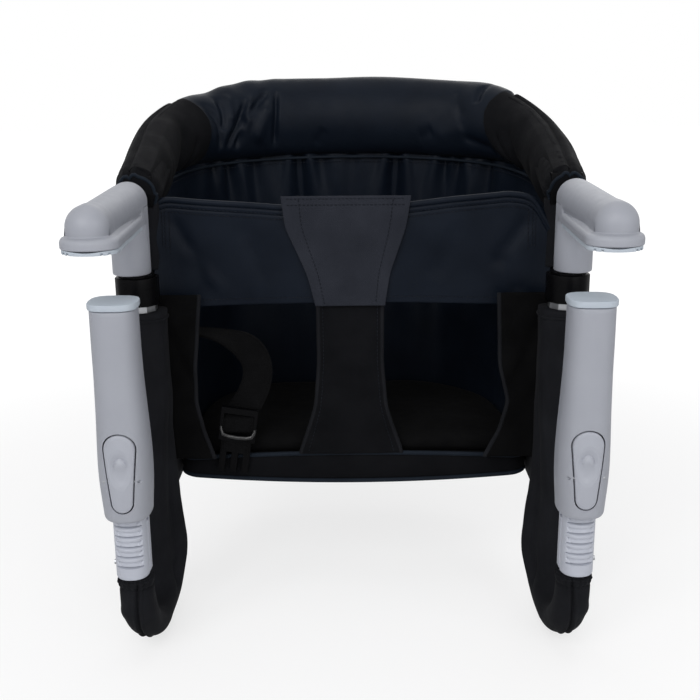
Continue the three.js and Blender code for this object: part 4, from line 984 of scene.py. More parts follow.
# How far the cushion's rings are drawn in, and their height
CUSHION_CROWN = ((5, 0), (1, 1.5), (0, 5), (0.6, 9), (3, 12), (9, 14.6), (22, 16.2), (45, 17), (75, 17.3),
                 (105, 17.3))
CUSHION_SIDE_HEIGHT = 9


def seat_plan(inset, front_y, count=200):
    """The seat's outline: the tub's wall behind, round front corners and a straight front."""
    places = even_places(count, SIDE_SHARE, 1 - SIDE_SHARE)
    behind = wall(places, np.full(places.shape, PAN_LOW_Z), SEAT_WALL_IN + inset)[:, :2]
    straight = abs(behind[0, 0]) - SEAT_CORNER
    turns = np.linspace(0, np.pi / 2, 10)
    right_x = straight + SEAT_CORNER * np.cos(turns)
    right = np.stack([right_x, front_y + SEAT_CORNER * (1 - np.sin(turns))], -1)
    front = np.stack([np.linspace(straight, -straight, 60)[1:-1], np.full(58, front_y)], -1)
    return evenly_round(np.concatenate([behind, right, front, (right * (-1, 1))[::-1]]), count)


def seat_edge(top):
    """The line of the base's upper or lower piping."""
    outline = seat_plan(BASE_IN, SEAT_FRONT_Y + BASE_IN, 240)
    crown = 1 - np.clip(np.abs(outline[:, 0]) / BASE_HALF, 0, 1) ** 2
    front = fall(outline[:, 1], BASE_FRONT_REACH, BASE_FRONT_SPAN) * crown
    if top:
        z = PAN_TOP_Z - BASE_TOP_DROP + BASE_TOP_CROWN * front
    else:
        z = PAN_LOW_Z + BASE_LOW_RISE - BASE_LOW_CROWN * front
    return np.column_stack([outline, z])


def seat_base():
    low, top = seat_edge(False), seat_edge(True)
    rings = []
    for share, draw in BASE_SIDE:
        ring = low + (top - low) * share
        ring[:, :2] -= unit(ring[:, :2] - ring.mean(0)[:2]) * draw
        rings.append(ring)
    # The base's darker cloth is painted shade
    skin("seat_base", rings, "seat", SHADE_DARKENED_OUTER, "seat_pan")
    for name, ring in (("lower_piping", low), ("upper_piping", top)):
        closed_roll(f"seat_{name}", ring, BASE_PIPING_R, PIPING)


def seat_cushion():
    edge = seat_plan(CUSHION_IN, CUSHION_FRONT_Y)
    away = edge - CUSHION_MIDDLE
    size = np.linalg.norm(away, axis=1, keepdims=True)
    rings = []
    for draw, height in CUSHION_CROWN:
        outline = edge - away / size * np.minimum(draw, size * CUSHION_INMOST_SHARE)
        lift = 0.5 * ripples(outline[:, 0], outline[:, 1], 60, 4) * (height > CUSHION_SIDE_HEIGHT)
        rings.append(np.column_stack([outline, PAN_TOP_Z + SEAT_GAP + height + lift]))
    # The cushion's darker cloth is painted shade
    skin("seat_cushion", rings, "seat", SHADED, "seat_pad", slot="lining_fabric")


# Front panels
PANEL_Y = 52
PANEL_HALF = 162
PANEL_LOW_Z = -72
PANEL_THICK = 1.6
PANEL_LOW_SAG = 2
PANEL_SAG_SPAN = 220
PANEL_EDGE_BACK = 6
HEM_X = (-165, -161, -150, -125, -89, -59, -20, 48, 82, 109, 127, 141, 149, 155, 165)
HEM_Z = (4, 15, 18, 15.5, 13, 10.5, 9, 12.2, 16.2, 18.4, 20.2, 18.4, 14, 1, -14)
PANEL_FOLDS = (
    ((-150, 8), (-118, -52), 6, 2.0), ((148, 6), (112, -45), 7, 2.0), ((-90, 2), (-70, -60), 8, 1.2),
    ((88, 0), (66, -55), 8, 1.2), ((-140, -20), (-100, -66), 6, -1.5), ((120, -30), (140, -66), 6, 1.4),
)
# Grooves and ridges along the hem: depth, drop below the edge and width
HEM_RELIEF = ((1.1, 5.9, 1.7), (-0.9, 3.4, 0.7), (-0.6, 8.3, 0.9))
HEM_ROLL_R = 2.4
HEM_ROLL_SHIFT = (0, -0.4, -1.6)
HEM_STITCHES = (("upper", 4.6), ("middle", 7.4), ("lower", 11.5))
HEM_STITCH_PROUD = 1.3
HEM_STITCH_IN = 5
HEM_STITCH_DOWN = 34


def stitch_line(grid_line, proud):
    return grid_line + (0, -proud, 0)


def panel_point(x, z):
    """The front panel's surface at a place across and up it."""
    edge = np.clip(np.abs(x) / PANEL_HALF, 0, 1.02)
    depth = PANEL_Y - PANEL_EDGE_BACK * edge ** 14 + 0.7 * ripples(x, z, 55, 12) + creases(x, z, PANEL_FOLDS)
    return np.stack(np.broadcast_arrays(x, depth, z), -1)


def hem_stitches(name, drop):
    """A row of stitches along the hem, turned down at both ends."""
    inset = HEM_STITCH_IN + drop * 0.8
    across = np.linspace(-PANEL_HALF + inset, PANEL_HALF - inset - HEM_STITCH_IN, 240)
    along = smoothed(across, HEM_X, HEM_Z) - drop
    down = np.linspace(0, HEM_STITCH_DOWN, 41)[1:]
    left = np.stack([np.full(40, across[0]), along[0] - down[::-1]], -1)
    right = np.stack([np.full(40, across[-1]), along[-1] - down], -1)
    line = np.concatenate([left, np.stack([across, along], -1), right])
    points = panel_point(line[:, 0], line[:, 1])
    stitches(f"front_hem_{name}_stitches", stitch_line(points, HEM_STITCH_PROUD), TOWARD_VIEWER, THREAD)


def front_panel():
    x = row(300, -PANEL_HALF, PANEL_HALF)
    top = smoothed(x, HEM_X, HEM_Z)
    low = PANEL_LOW_Z + PANEL_LOW_SAG * np.cos(np.pi * x / PANEL_SAG_SPAN)
    z = top + (low - top) * column(110) ** 1.7
    grid = panel_point(x + 0 * z, z)
    grid[..., 1] -= sum(depth * bump(top - z, drop, width) for depth, drop, width in HEM_RELIEF)
    cut_cloth(sheet("front_panel_cloth", grid, PANEL_THICK, "seat", SATIN, "front_panel"))
    skin("front_hem_roll", round_tube(grid[0] + HEM_ROLL_SHIFT, HEM_ROLL_R), "seat", SATIN)
    for name, drop in HEM_STITCHES:
        hem_stitches(name, drop)
    stitches("front_low_stitches", stitch_line(grid[-5], 0.95), TOWARD_VIEWER, THREAD)


# The flap over the panel, the crotch panel and the gussets: half widths or edges at heights
CLOTH_THICK = 2.2
FLAP_TOP_Z = 18.2
FLAP_HEIGHTS = (PANEL_LOW_Z, -45, -7, FLAP_TOP_Z)
FLAP_HALVES = (28.5, 34, 49, 52.5)
FLAP_MIDDLE_HEIGHTS = (PANEL_LOW_Z, -7, FLAP_TOP_Z)
FLAP_MIDDLES = (-2, -5.2, -4.8)
FLAP_PROUD = 3.8
FLAP_FOLD = ((-30, -20), (24, -48), 9, 1.0)
FLAP_STITCH_PROUD = 1.2
CROTCH_TOP_Z = PANEL_LOW_Z + 1
CROTCH_LOW_Z = PAN_TOP_Z + 2
CROTCH_HEIGHTS = (CROTCH_LOW_Z, -178, -160, -122, CROTCH_TOP_Z)
CROTCH_HALVES = (43.5, 35, 29.5, 26.3, 26.5)
CROTCH_MIDDLE = -2.2
CROTCH_STITCH_PROUD = 1.25
EDGE_BINDING_R = 1.8
GUSSET_TOP_Z = -60.0
GUSSET_HEIGHTS = (CROTCH_LOW_Z, -178, -152, -122, GUSSET_TOP_Z)
GUSSET_INNER = {"left": (118, 126, 131.5, 131, 125), "right": (110.5, 123, 129.5, 122, 119)}
GUSSET_OUTER = 184
GUSSET_Y = 38.2
GUSSET_FOLD = ((160, -70), (128, -150), 6, 1.6)


def edge_binding(name, line):
    skin(name, round_tube(line, EDGE_BINDING_R, 10), "seat", OUTER)


def front_flap():
    share, run = column(90), row(90, -1, 1)
    z = FLAP_TOP_Z + (PANEL_LOW_Z - FLAP_TOP_Z) * share + 0 * run
    middle = np.interp(z, FLAP_MIDDLE_HEIGHTS, FLAP_MIDDLES)
    x = middle + smoothed(z, FLAP_HEIGHTS, FLAP_HALVES, 6) * run
    y = PANEL_Y - FLAP_PROUD + 0.3 * ripples(x, z, 30, 14) - 0.6 * bump(share, 0, 0.04)
    y = y - 0.5 * bump(np.abs(run), 0.86, 0.09) * (np.abs(run) > 0.7)
    grid = np.stack([x, y + crease(x, z, *FLAP_FOLD), z], -1)
    cut_cloth(sheet("front_flap_cloth", grid, CLOTH_THICK, "seat", CANVAS, "front_flap"))
    lines = {"left": grid[2:, 12], "right": grid[2:, -13], "top": grid[2, 3:-3], "hem": grid[7, 3:-3]}
    for name, line in lines.items():
        stitches(f"front_flap_{name}_stitches", stitch_line(line, FLAP_STITCH_PROUD), TOWARD_VIEWER, THREAD)


def crotch_panel():
    share, run = column(90), row(56, -1, 1)
    z = CROTCH_TOP_Z + (CROTCH_LOW_Z - CROTCH_TOP_Z) * share + 0 * run
    x = CROTCH_MIDDLE + smoothed(z, CROTCH_HEIGHTS, CROTCH_HALVES, 6) * run
    y = PANEL_Y - 1.2 * np.sin(np.pi * share) + 0.7 * ripples(x, z, 40, 15)
    y = y - 2.5 * rise(share, 0.85, 0.15) - 1.4 * (1 - run ** 2) * rise(share, 0.3, 0.5)
    grid = np.stack([x, y, z], -1)
    # The crotch panel's darker cloth is painted shade
    cut_cloth(sheet("crotch_cloth", grid, CLOTH_THICK, "seat", SHADE_DARKENED_OUTER, "crotch_panel"))
    for name, at in (("left", 4), ("right", -5)):
        line = stitch_line(grid[:, at], CROTCH_STITCH_PROUD)
        stitches(f"crotch_{name}_stitches", line, TOWARD_VIEWER, THREAD)
    for name, at in (("left", 0), ("right", -1)):
        edge_binding(f"crotch_{name}_binding", grid[:, at])


def side_gusset(side, sign):
    share, run = column(80), row(50)
    z = GUSSET_TOP_Z + (CROTCH_LOW_Z - GUSSET_TOP_Z) * share + 0 * run
    inner = smoothed(z, GUSSET_HEIGHTS, GUSSET_INNER[side], 4)
    x = sign * (inner + (GUSSET_OUTER - inner) * run)
    y = GUSSET_Y + 0.7 * ripples(x, z, 35, 16) + crease(np.abs(x), z, *GUSSET_FOLD)
    grid = np.stack([x, y, z], -1)
    # The gusset's darker cloth is painted shade
    gusset = sheet(f"{side}_gusset_cloth", grid, CLOTH_THICK, "seat", SHADED, f"{side}_side_gusset")
    cut_cloth(gusset)
    edge_binding(f"{side}_gusset_binding", grid[:, 0])


# Arm: moulded cover, column, pad. Measures across are outward from the leg's axis.
COVER_SHIFT = 3.5
COVER_BASE_Z = 3.3
FLANGE_HALF = 20.2
FLANGE_MIDDLE = 5.9
FLANGE_DEPTH = 16
FLANGE_TURN_Y = -96.4
FLANGE_REAR_HALF = 15.6
FLANGE_REAR_Y = 0
FLANGE_HEIGHT = 7.4
FLANGE_ROLL = 3.6
FLANGE_FILLET = 2.2
FLANGE_CHAMFER = 0.6
REAR_ROUND = 2.4
COVER_REAR_Y = 2.2
DOME_R = 15.4
DOME_MIDDLE = 7.4
DOME_DEPTH = 14.6
DOME_Y = -92
DOME_TOP_Z = 32
STEP_Y = -80
BARREL_FRONT_R = 14.2
BARREL_R = 15
BARREL_TOP_Z = 34
JOINT_Y = 4.5
BARREL_PLAY = 0.02
LEAST_WALL = 0.05
PINCH_SPAN = 25
CAP_LOW_Z = 16.3


def barrel_size(y):
    """Middle, half width and top of the barrel at a distance along the arm."""
    keys = [DOME_Y, STEP_Y, STEP_Y + 1.2, STEP_Y + 2.4, -1, LEG_Y]
    rear_r, rear_top = BARREL_R - BARREL_PLAY, BARREL_TOP_Z - BARREL_PLAY
    middle = np.interp(y, keys, [DOME_MIDDLE, 7.2, 7.1, 7.0, COVER_SHIFT, COVER_SHIFT])
    half = np.interp(y, keys, [DOME_R, DOME_R - 0.1, 14.9, BARREL_FRONT_R, rear_r, rear_r])
    top = np.interp(y, keys, [DOME_TOP_Z, 31.9, 31.6, 31.2, rear_top, rear_top])
    return middle, half, top


def cover_profile(flange, half, top, margin=1.0, pinch=0.0):
    """From the flange's foot over its roll, up the wall and over to the ridge: distance out and height."""
    spring = top - half
    start = COVER_BASE_Z + FLANGE_HEIGHT + 0.3
    under = math.asin(max(0.0, min(0.9, (spring - start - 1) / half)))
    base = half * (1 - pinch * (1 - math.cos(under)))
    flange = base + (flange - base) * margin
    roll_out = min(FLANGE_ROLL, max(flange - base, LEAST_WALL))
    out, high = [flange - FLANGE_CHAMFER * margin, flange], [COVER_BASE_Z, COVER_BASE_Z + 0.7]
    for angle in np.linspace(0, np.pi / 2, 9):
        out.append(flange - roll_out * (1 - math.cos(angle)))
        high.append(COVER_BASE_Z + FLANGE_HEIGHT - FLANGE_ROLL + FLANGE_ROLL * math.sin(angle))
    fillet = min(FLANGE_FILLET, max(LEAST_WALL, (flange - roll_out - base) * 0.9))
    for angle in np.linspace(0, np.pi / 2, 7)[1:]:
        out.append(base + fillet * (1 - math.sin(angle)))
        high.append(start + min(fillet, 1) * (1 - math.cos(angle)))
    for angle in np.linspace(-under, 0, 8)[1:-1]:
        out.append(half * (1 - pinch * (1 - math.cos(angle))))
        high.append(spring + half * math.sin(angle))
    for angle in np.linspace(0, np.pi / 2, 30):
        out.append(half * max(math.cos(angle), 0))
        high.append(spring + half * math.sin(angle))
    return np.array(out), np.array(high)


def straight_section(y, margin, way):
    """The cover's section beside the barrel, at a distance along the arm and on one way from its middle."""
    share = np.clip((y - DOME_Y) / (FLANGE_REAR_Y - DOME_Y), 0, 1)
    middle, half, top = barrel_size(y)
    flange_middle = FLANGE_MIDDLE + (COVER_SHIFT - FLANGE_MIDDLE) * share
    flange = FLANGE_HALF + (FLANGE_REAR_HALF - FLANGE_HALF) * share + way * (flange_middle - middle)
    out, high = cover_profile(flange, half, top, margin, rise(y, STEP_Y, PINCH_SPAN) * fall(y, 1, 3))
    ahead = np.clip((BARREL_TOP_Z - 14 - high) / 8, 0, 1) * (FLANGE_TURN_Y - DOME_Y) * bump(share, 0, 0.12)
    return np.stack([middle + way * out, y + ahead, high], -1)


def dome_section(angle):
    """The cover's section at an angle round the dome at its front end."""
    c, s = math.cos(angle), math.sin(angle)
    dome = np.array([DOME_MIDDLE - DOME_R * c, DOME_Y - DOME_DEPTH * s])
    rim = np.array([FLANGE_MIDDLE - FLANGE_HALF * c, FLANGE_TURN_Y - FLANGE_DEPTH * s])
    gap = np.linalg.norm(rim - dome)
    out, high = cover_profile(DOME_R + gap, DOME_R, DOME_TOP_Z)
    inner = np.clip(out / DOME_R, 0, 1)[:, None]
    outer = np.clip((out - DOME_R) / gap, 0, 1)[:, None]
    pole = np.array([DOME_MIDDLE, DOME_Y])
    flat = np.where(outer > 0, dome + (rim - dome) * outer, pole + (dome - pole) * inner)
    return np.column_stack([flat, high])


def arm_cover(side, sign):
    ends = np.linspace(0, np.pi / 2, 8)
    ys = np.concatenate([[JOINT_Y, COVER_REAR_Y], FLANGE_REAR_Y - REAR_ROUND * (1 - np.cos(ends)),
                         np.linspace(-5, STEP_Y + 4, 40), np.linspace(STEP_Y + 3, DOME_Y, 22)])
    growing = LEAST_WALL + (1 - LEAST_WALL) * np.sin(ends)
    margins = np.concatenate([[LEAST_WALL, LEAST_WALL], growing, np.ones(62)])
    rows = [straight_section(y, margin, -1) for y, margin in zip(ys, margins)]
    rows += [dome_section(angle) for angle in np.linspace(0, np.pi, 64)[1:-1]]
    rows += [straight_section(y, margin, 1) for y, margin in zip(ys[::-1], margins[::-1])]
    rows = mirrored(rows, sign)
    count, width, _ = rows.shape
    faces = quads(count, width)
    faces.append([i * width for i in range(count)][::-1])
    faces.append(list(range(width)) + [(count - 1) * width + k for k in range(width - 2, -1, -1)])
    cover = finished(f"{side}_arm_front", rows, faces, None, GREY)
    combined(cover, arm_cap(side, sign), "UNION")
    cover.name = f"{side}_arm_moulding"
    smooth_by_angle(cover, 35)
    dress(cover, f"{side}_arm", GREY, f"{side}_arm_cover")


def arm_cap(side, sign):
    """The rounded rear end over the leg."""
    angles = np.linspace(0, np.pi, 40)

    def ring(along_y, tilt):
        out = COVER_SHIFT + BARREL_R * np.cos(angles)
        y = along_y + BARREL_R * np.sin(angles) * math.sin(tilt)
        z = BARREL_TOP_Z - BARREL_R + BARREL_R * np.sin(angles) * math.cos(tilt)
        points = np.stack([out, y, z], -1)
        first, last = ((points[k, 0], along_y, CAP_LOW_Z) for k in (0, -1))
        return np.concatenate([[first], points, [last]])

    rows = [ring(y, 0) for y in np.linspace(JOINT_Y - 2, LEG_Y, 10)]
    rows += [ring(LEG_Y, tilt) for tilt in np.linspace(0, np.pi / 2, 16)[1:]]
    foot = rows[-1].copy()
    foot[:, 2] = CAP_LOW_Z
    rows = mirrored(rows + [foot], sign)
    count, width, _ = rows.shape
    faces = quads(count, width)
    faces.append(list(range(width)))
    faces.append([i * width for i in range(count)] + [(count - 1) * width + k for k in range(1, width)]
                 + [i * width + width - 1 for i in range(count - 2, -1, -1)])
    return finished(f"{side}_arm_cap", rows, faces, None, GREY)


CHEEK_FRONT = -14.6
CHEEK_EDGE = -0.001
CHEEK_SQUARE = 6
# Heights and radii of the column's rings, first round and then with straight cheeks
COLUMN_ROUND = ((COLUMN_LOW_Z, 13.6), (COLUMN_LOW_Z + 0.4, 14.6), (COLUMN_LOW_Z + 1.2, BARREL_R),
                (-20, BARREL_R), (2.4, BARREL_R))
COLUMN_CHEEKS = ((3.4, BARREL_R), (9, BARREL_R), (14.8, BARREL_R), (15.5, BARREL_R - 0.3),
                 (15.9, BARREL_R - 1.2))


def column_ring(z, radius, cheeks):
    """A round ring, or one whose front half is drawn straight ahead as two cheeks."""
    angle = around(72)
    across, ahead = radius * np.cos(angle), radius * np.sin(angle)
    if cheeks:
        in_front = ahead < 0
        ahead = np.maximum(np.where(in_front, np.minimum(ahead * 3, CHEEK_EDGE), ahead), CHEEK_FRONT)
        square = radius * np.sign(np.cos(angle)) * np.minimum(1, np.abs(np.cos(angle)) * CHEEK_SQUARE)
        across = np.where(in_front, square, across)
    return np.stack([COVER_SHIFT + across, LEG_Y + ahead, np.full(angle.shape, z)], -1)


def column_cover(side, sign):
    """The round column over the leg, with straight cheeks where it meets the arm."""
    rings = [column_ring(z, radius, False) for z, radius in COLUMN_ROUND]
    rings += [column_ring(z, radius, True) for z, radius in COLUMN_CHEEKS]
    piece = skin(f"{side}_column_moulding", mirrored(rings, sign), f"{side}_arm", GREY,
                 f"{side}_column_cover")
    smooth_by_angle(piece, 40)


PAD_INSET = 0.9
PAD_LIP = 1.1
PAD_LIP_HALF = 9
# Height, share of the outline and share of the lip's hollow of the pad's rings
PAD_RINGS = ((0, 0.985, 0), (0.35, 1, 0), (2.4, 1, 0.9), (3.0, 0.985, 1.0))
NOTCH_PLACES = (-15.0, -10.6, 12.6, 15.8)
NOTCH_HALF = 0.8
NOTCH_AHEAD = 3
NOTCH_DEPTH = 2.2
NOTCH_LOW_Z = -1
NOTCH_TOP_Z = 1.7


def pad_outline(inset):
    """The table pad's outline, which follows the flange's."""
    turns = np.linspace(0, np.pi, 60)
    arc = np.stack([FLANGE_MIDDLE - (FLANGE_HALF - inset) * np.cos(turns),
                    FLANGE_TURN_Y - (FLANGE_DEPTH - inset) * np.sin(turns)], -1)
    rear = FLANGE_REAR_HALF - inset
    rear_y = FLANGE_REAR_Y - REAR_ROUND
    return np.concatenate([[[COVER_SHIFT - rear, rear_y]], arc, [[COVER_SHIFT + rear, rear_y]]])


def arm_pad(side, sign):
    """The rubber plate under the flange, hollowed along its front lip, with small notches in its edge."""
    outline = pad_outline(PAD_INSET)
    middle = outline.mean(0)
    lip = PAD_LIP * bump(outline[:, 0], FLANGE_MIDDLE - 0.5, PAD_LIP_HALF) * (outline[:, 1] < FLANGE_TURN_Y)
    rings = [np.column_stack([middle + (outline - middle) * share, z - hollow * lip])
             for z, share, hollow in PAD_RINGS]
    piece = skin(f"{side}_table_pad", mirrored(rings, sign), f"{side}_arm", PAD_GREY, f"{side}_arm_pad")
    for across in NOTCH_PLACES:
        edge = math.sqrt(1 - (across / (FLANGE_HALF - PAD_INSET)) ** 2)
        edge_y = FLANGE_TURN_Y - (FLANGE_DEPTH - PAD_INSET) * edge
        at = FLANGE_MIDDLE + across
        tool = box_tool((at - NOTCH_HALF, at + NOTCH_HALF), (edge_y - NOTCH_AHEAD, edge_y + NOTCH_DEPTH),
                        (NOTCH_LOW_Z, NOTCH_TOP_Z), sign)
        combined(piece, tool, "DIFFERENCE")
    smooth_by_angle(piece, 35)


# Post: clamp sleeve with its window, release lever, rod with ribs
SLEEVE_POWER = 2.5
SLEEVE_REAR = 17.6
SLEEVE_LENGTH = SLEEVE_TOP_Z - SLEEVE_LOW_Z
LEAN_IN = 1.2
LEAN_FROM = 20
LEAN_SPAN = 90
# Shares of the way down the sleeve in hundredths, and its half widths and front depths there
SLEEVE_DOWN = (0, 30, 50, 62, 74, 84, 93, 100)
SLEEVE_HALVES = (17, 17.3, 18.4, 19.3, 19.8, 19.4, 18.2, 17.3)
SLEEVE_FRONTS = (18, 18.7, 20.5, 22, 23, 22.9, 22.4, 22)
# Heights from the sleeve's top and insets of its first rings, and the round of its mouth
SLEEVE_TOP_RINGS = ((0, 1.6), (0.4, 0.5), (1.4, 0))
MOUTH_HEIGHT = 3.4
MOUTH_IN = 1.8
BORE_PLAY = (1.6, 2.2, 1.4)
LEVER_TOP_Z = SLEEVE_TOP_Z - 101
LEVER_LOW_Z = SLEEVE_TOP_Z - 142
LEVER_TOP_R = 12.4
LEVER_LOW_R = 8.6
BELL_FRONT = 23
WINDOW_AHEAD = 8
WINDOW_DEEP = 9.5
PIN_HALF = 12.5
PIN_R = 1.2
PIN_END_R = 0.7
PIN_CHAMFER = 0.5
PIN_HOLE_R = 1.3
PIN_HOLE_HALF = 12
PIN_HOLE_SHIFT = (15, 0, 0)


def leaned(z):
    """The post's lower parts stand a little nearer the middle than its top."""
    return -LEAN_IN * fall(z, SLEEVE_TOP_Z - LEAN_FROM, LEAN_SPAN)


def sleeve_size(z):
    """Half width and front depth of the sleeve at a height."""
    down = 100 * (SLEEVE_TOP_Z - np.asarray(z, float)) / SLEEVE_LENGTH
    return smoothed(down, SLEEVE_DOWN, SLEEVE_HALVES), smoothed(down, SLEEVE_DOWN, SLEEVE_FRONTS)


def sleeve_ring(z, inset=0.0, count=72):
    half, front = sleeve_size(z)
    across, along = squared_round(around(count), SLEEVE_POWER)
    reach = np.where(along > 0, front, SLEEVE_REAR) - inset
    x = leaned(z) + (half - inset) * across
    return np.stack([x, POST_Y - reach * along, np.full(count, float(z))], -1)


def sleeve_front(x, z):
    """How far the sleeve's front stands ahead of the post's axis."""
    half, front = sleeve_size(z)
    return front * (1 - np.clip(np.abs(x) / half, 0, 0.999) ** SLEEVE_POWER) ** (1 / SLEEVE_POWER)


def teardrop(inset, count=90):
    """Outline of the lever in X and Z."""
    lean = math.asin((LEVER_TOP_R - LEVER_LOW_R) / (LEVER_TOP_Z - LEVER_LOW_Z))
    arcs = []
    for radius, centre_z, start, end in ((LEVER_TOP_R, LEVER_TOP_Z, -lean, np.pi + lean),
                                         (LEVER_LOW_R, LEVER_LOW_Z, np.pi + lean, 2 * np.pi - lean)):
        turn = np.linspace(start, end, count // 2)
        reach = radius - inset
        arcs.append(np.stack([reach * np.cos(turn), centre_z + reach * np.sin(turn)], -1))
    return evenly_round(np.concatenate(arcs), count)


def bar_ring(x, radius):
    """A ring of a round bar along the lever's pin."""
    angle = around(20)
    return np.stack([np.full(20, x), PIN_Y + radius * np.cos(angle), PIN_Z + radius * np.sin(angle)], -1)


def clamp_sleeve(side, sign):
    """The sleeve over the rod, with the lever's window and the hole for its pin."""
    rings = [sleeve_ring(SLEEVE_TOP_Z - drop, inset) for drop, inset in SLEEVE_TOP_RINGS]
    rings += [sleeve_ring(z) for z in np.linspace(SLEEVE_TOP_Z - 4, SLEEVE_LOW_Z + 4, 60)]
    for turn in np.linspace(0.15, np.pi / 2, 9):
        z = SLEEVE_LOW_Z + MOUTH_HEIGHT * (1 - math.sin(turn))
        rings.append(sleeve_ring(z, MOUTH_IN * (1 - math.cos(turn))))
    rings += [rod_ring(z, *BORE_PLAY) for z in (SLEEVE_LOW_Z, SLEEVE_LOW_Z + 1, SLEEVE_TOP_Z - 4)]
    piece = skin(f"{side}_clamp_moulding", mirrored(rings, sign), f"{side}_clamp", GREY,
                 f"{side}_clamp_sleeve")
    drop = teardrop(0)
    window = [np.stack([drop[:, 0] - LEAN_IN, np.full(len(drop), y), drop[:, 1]], -1)
              for y in (POST_Y - BELL_FRONT - WINDOW_AHEAD, POST_Y - WINDOW_DEEP)]
    hole = [bar_ring(x, PIN_HOLE_R) - PIN_HOLE_SHIFT for x in (-PIN_HOLE_HALF, PIN_HOLE_HALF)]
    for name, tool in (("window", window), ("pin_hole", hole)):
        combined(piece, skin(name, mirrored(tool, sign), None, GREY), "DIFFERENCE")
    smooth_by_angle(piece, 40)


def lever_pin(side, sign):
    """The pin that the lever turns on, with chamfered ends that stay inside the sleeve's walls."""
    ends = ((-PIN_HALF, PIN_END_R), (PIN_CHAMFER - PIN_HALF, PIN_R), (PIN_HALF - PIN_CHAMFER, PIN_R),
            (PIN_HALF, PIN_END_R))
    rings = [bar_ring(x, radius) for x, radius in ends]
    skin(f"{side}_pin", mirrored(rings, sign), f"{side}_clamp", STEEL, f"{side}_lever_pin")


LEVER_PLAY = 1.0
HOLLOW_BELOW_TOP = 14.5
HOLLOW_HALF = 9.0
HOLLOW_HALF_HEIGHT = 14.2
HOLLOW_DEPTH = 2.0
HOLLOW_EDGE_PROUD = 0.9
HOLLOW_SHARES = (0.02, 0.2, 0.4, 0.58, 0.72, 0.82, 0.9, 0.95, 1.0)
# Share of the way from the hollow's edge to the outline, and how far the plate stands proud there
LEVER_RINGS = ((0.06, 1.1), (0.14, 1.15), (0.3, 1.0), (0.55, 0.9), (0.78, 0.88), (0.9, 0.75), (0.96, 0.5),
               (0.99, 0.2), (1.0, -0.3), (1.0, -4.5))
# Rings sunk deeper than this are set ahead above the pin
LEVER_SUNK = -1
LEVER_AHEAD = 2.6
LEVER_AHEAD_ABOVE_PIN = 6
LEVER_AHEAD_SPAN = 10


def release_lever(side, sign):
    """The tongue with its oval thumb hollow, as rings that follow the hollow's edge and then the outline."""
    outline = teardrop(LEVER_PLAY)
    middle = np.array([0, LEVER_TOP_Z - HOLLOW_BELOW_TOP])
    turn = np.arctan2(outline[:, 1] - middle[1], outline[:, 0])
    oval = middle + np.stack([HOLLOW_HALF * np.cos(turn), HOLLOW_HALF_HEIGHT * np.sin(turn)], -1)
    rows = [(middle + (oval - middle) * share, HOLLOW_EDGE_PROUD - HOLLOW_DEPTH * (1 - rise(share, 0.5, 0.5)))
            for share in HOLLOW_SHARES]
    rows += [(oval + (outline - oval) * share, proud) for share, proud in LEVER_RINGS]
    rings = []
    for flat, proud in rows:
        y = POST_Y - sleeve_front(flat[:, 0], flat[:, 1]) - proud
        if proud < LEVER_SUNK:
            y = y - LEVER_AHEAD * rise(flat[:, 1], PIN_Z + LEVER_AHEAD_ABOVE_PIN, LEVER_AHEAD_SPAN)
        rings.append(np.stack([flat[:, 0] - LEAN_IN, y, flat[:, 1]], -1))
    # The lever's lighter grey is painted light
    piece = skin(f"{side}_lever_plate", mirrored(rings, sign), f"{side}_lever", GREY_LIT_LEVER,
                 f"{side}_release_lever")
    smooth_by_angle(piece, 60)


ROD_HALF = 12.6
ROD_DEEP = 12
ROD_POWER = 4
ROD_FRONT = 13.5
ROD_ROUND = 2.2
ROD_CORNER = 3
ROD_CORNER_Y = 9
RIB_PITCH = 8.3
RIB_START = 10.4
RIB_COUNT = 17
RIB_HALF = 10.3
RIB_WEDGE = 3.2
RIDGE_DEPTH = 0.1
POCKET_DEPTH = 2.5
POCKET_SLOPE = 1.2
RIB_LINE_DEPTH = 2.6
RIDGE_SHARE = 0.24
# Shares of a rib's pitch at which the rod has a ring
RIB_SHARES = np.array([0, 0.025, 0.05, 0.08, 0.14, 0.24, 0.35, 0.45, 0.52, 0.56, 0.60, 0.66, 0.76, 0.86,
                       0.92, 0.95, 0.975])
# Height and inset of the rod's lowest rings, and heights of the plain ones above them
ROD_FOOT = ((0, 1.2), (0.4, 0.4), (1.4, 0))
ROD_PLAIN = (2.4, 5, 8, 9.6, 10)
GROOVE_DEPTH = 1.3
ROD_SLOT = {"out": 3, "in": 1.2, "ahead": 1.6, "behind": 7, "low": 43, "top": 4}


def rod_ring(z, play_x, play_front, play_rear, count=72):
    across, along = squared_round(around(count), ROD_POWER)
    reach = ROD_DEEP + np.where(along > 0, play_front, play_rear)
    x = (ROD_HALF + play_x) * across - LEAN_IN
    return np.stack([x, POST_Y - reach * along, np.full(count, float(z))], -1)


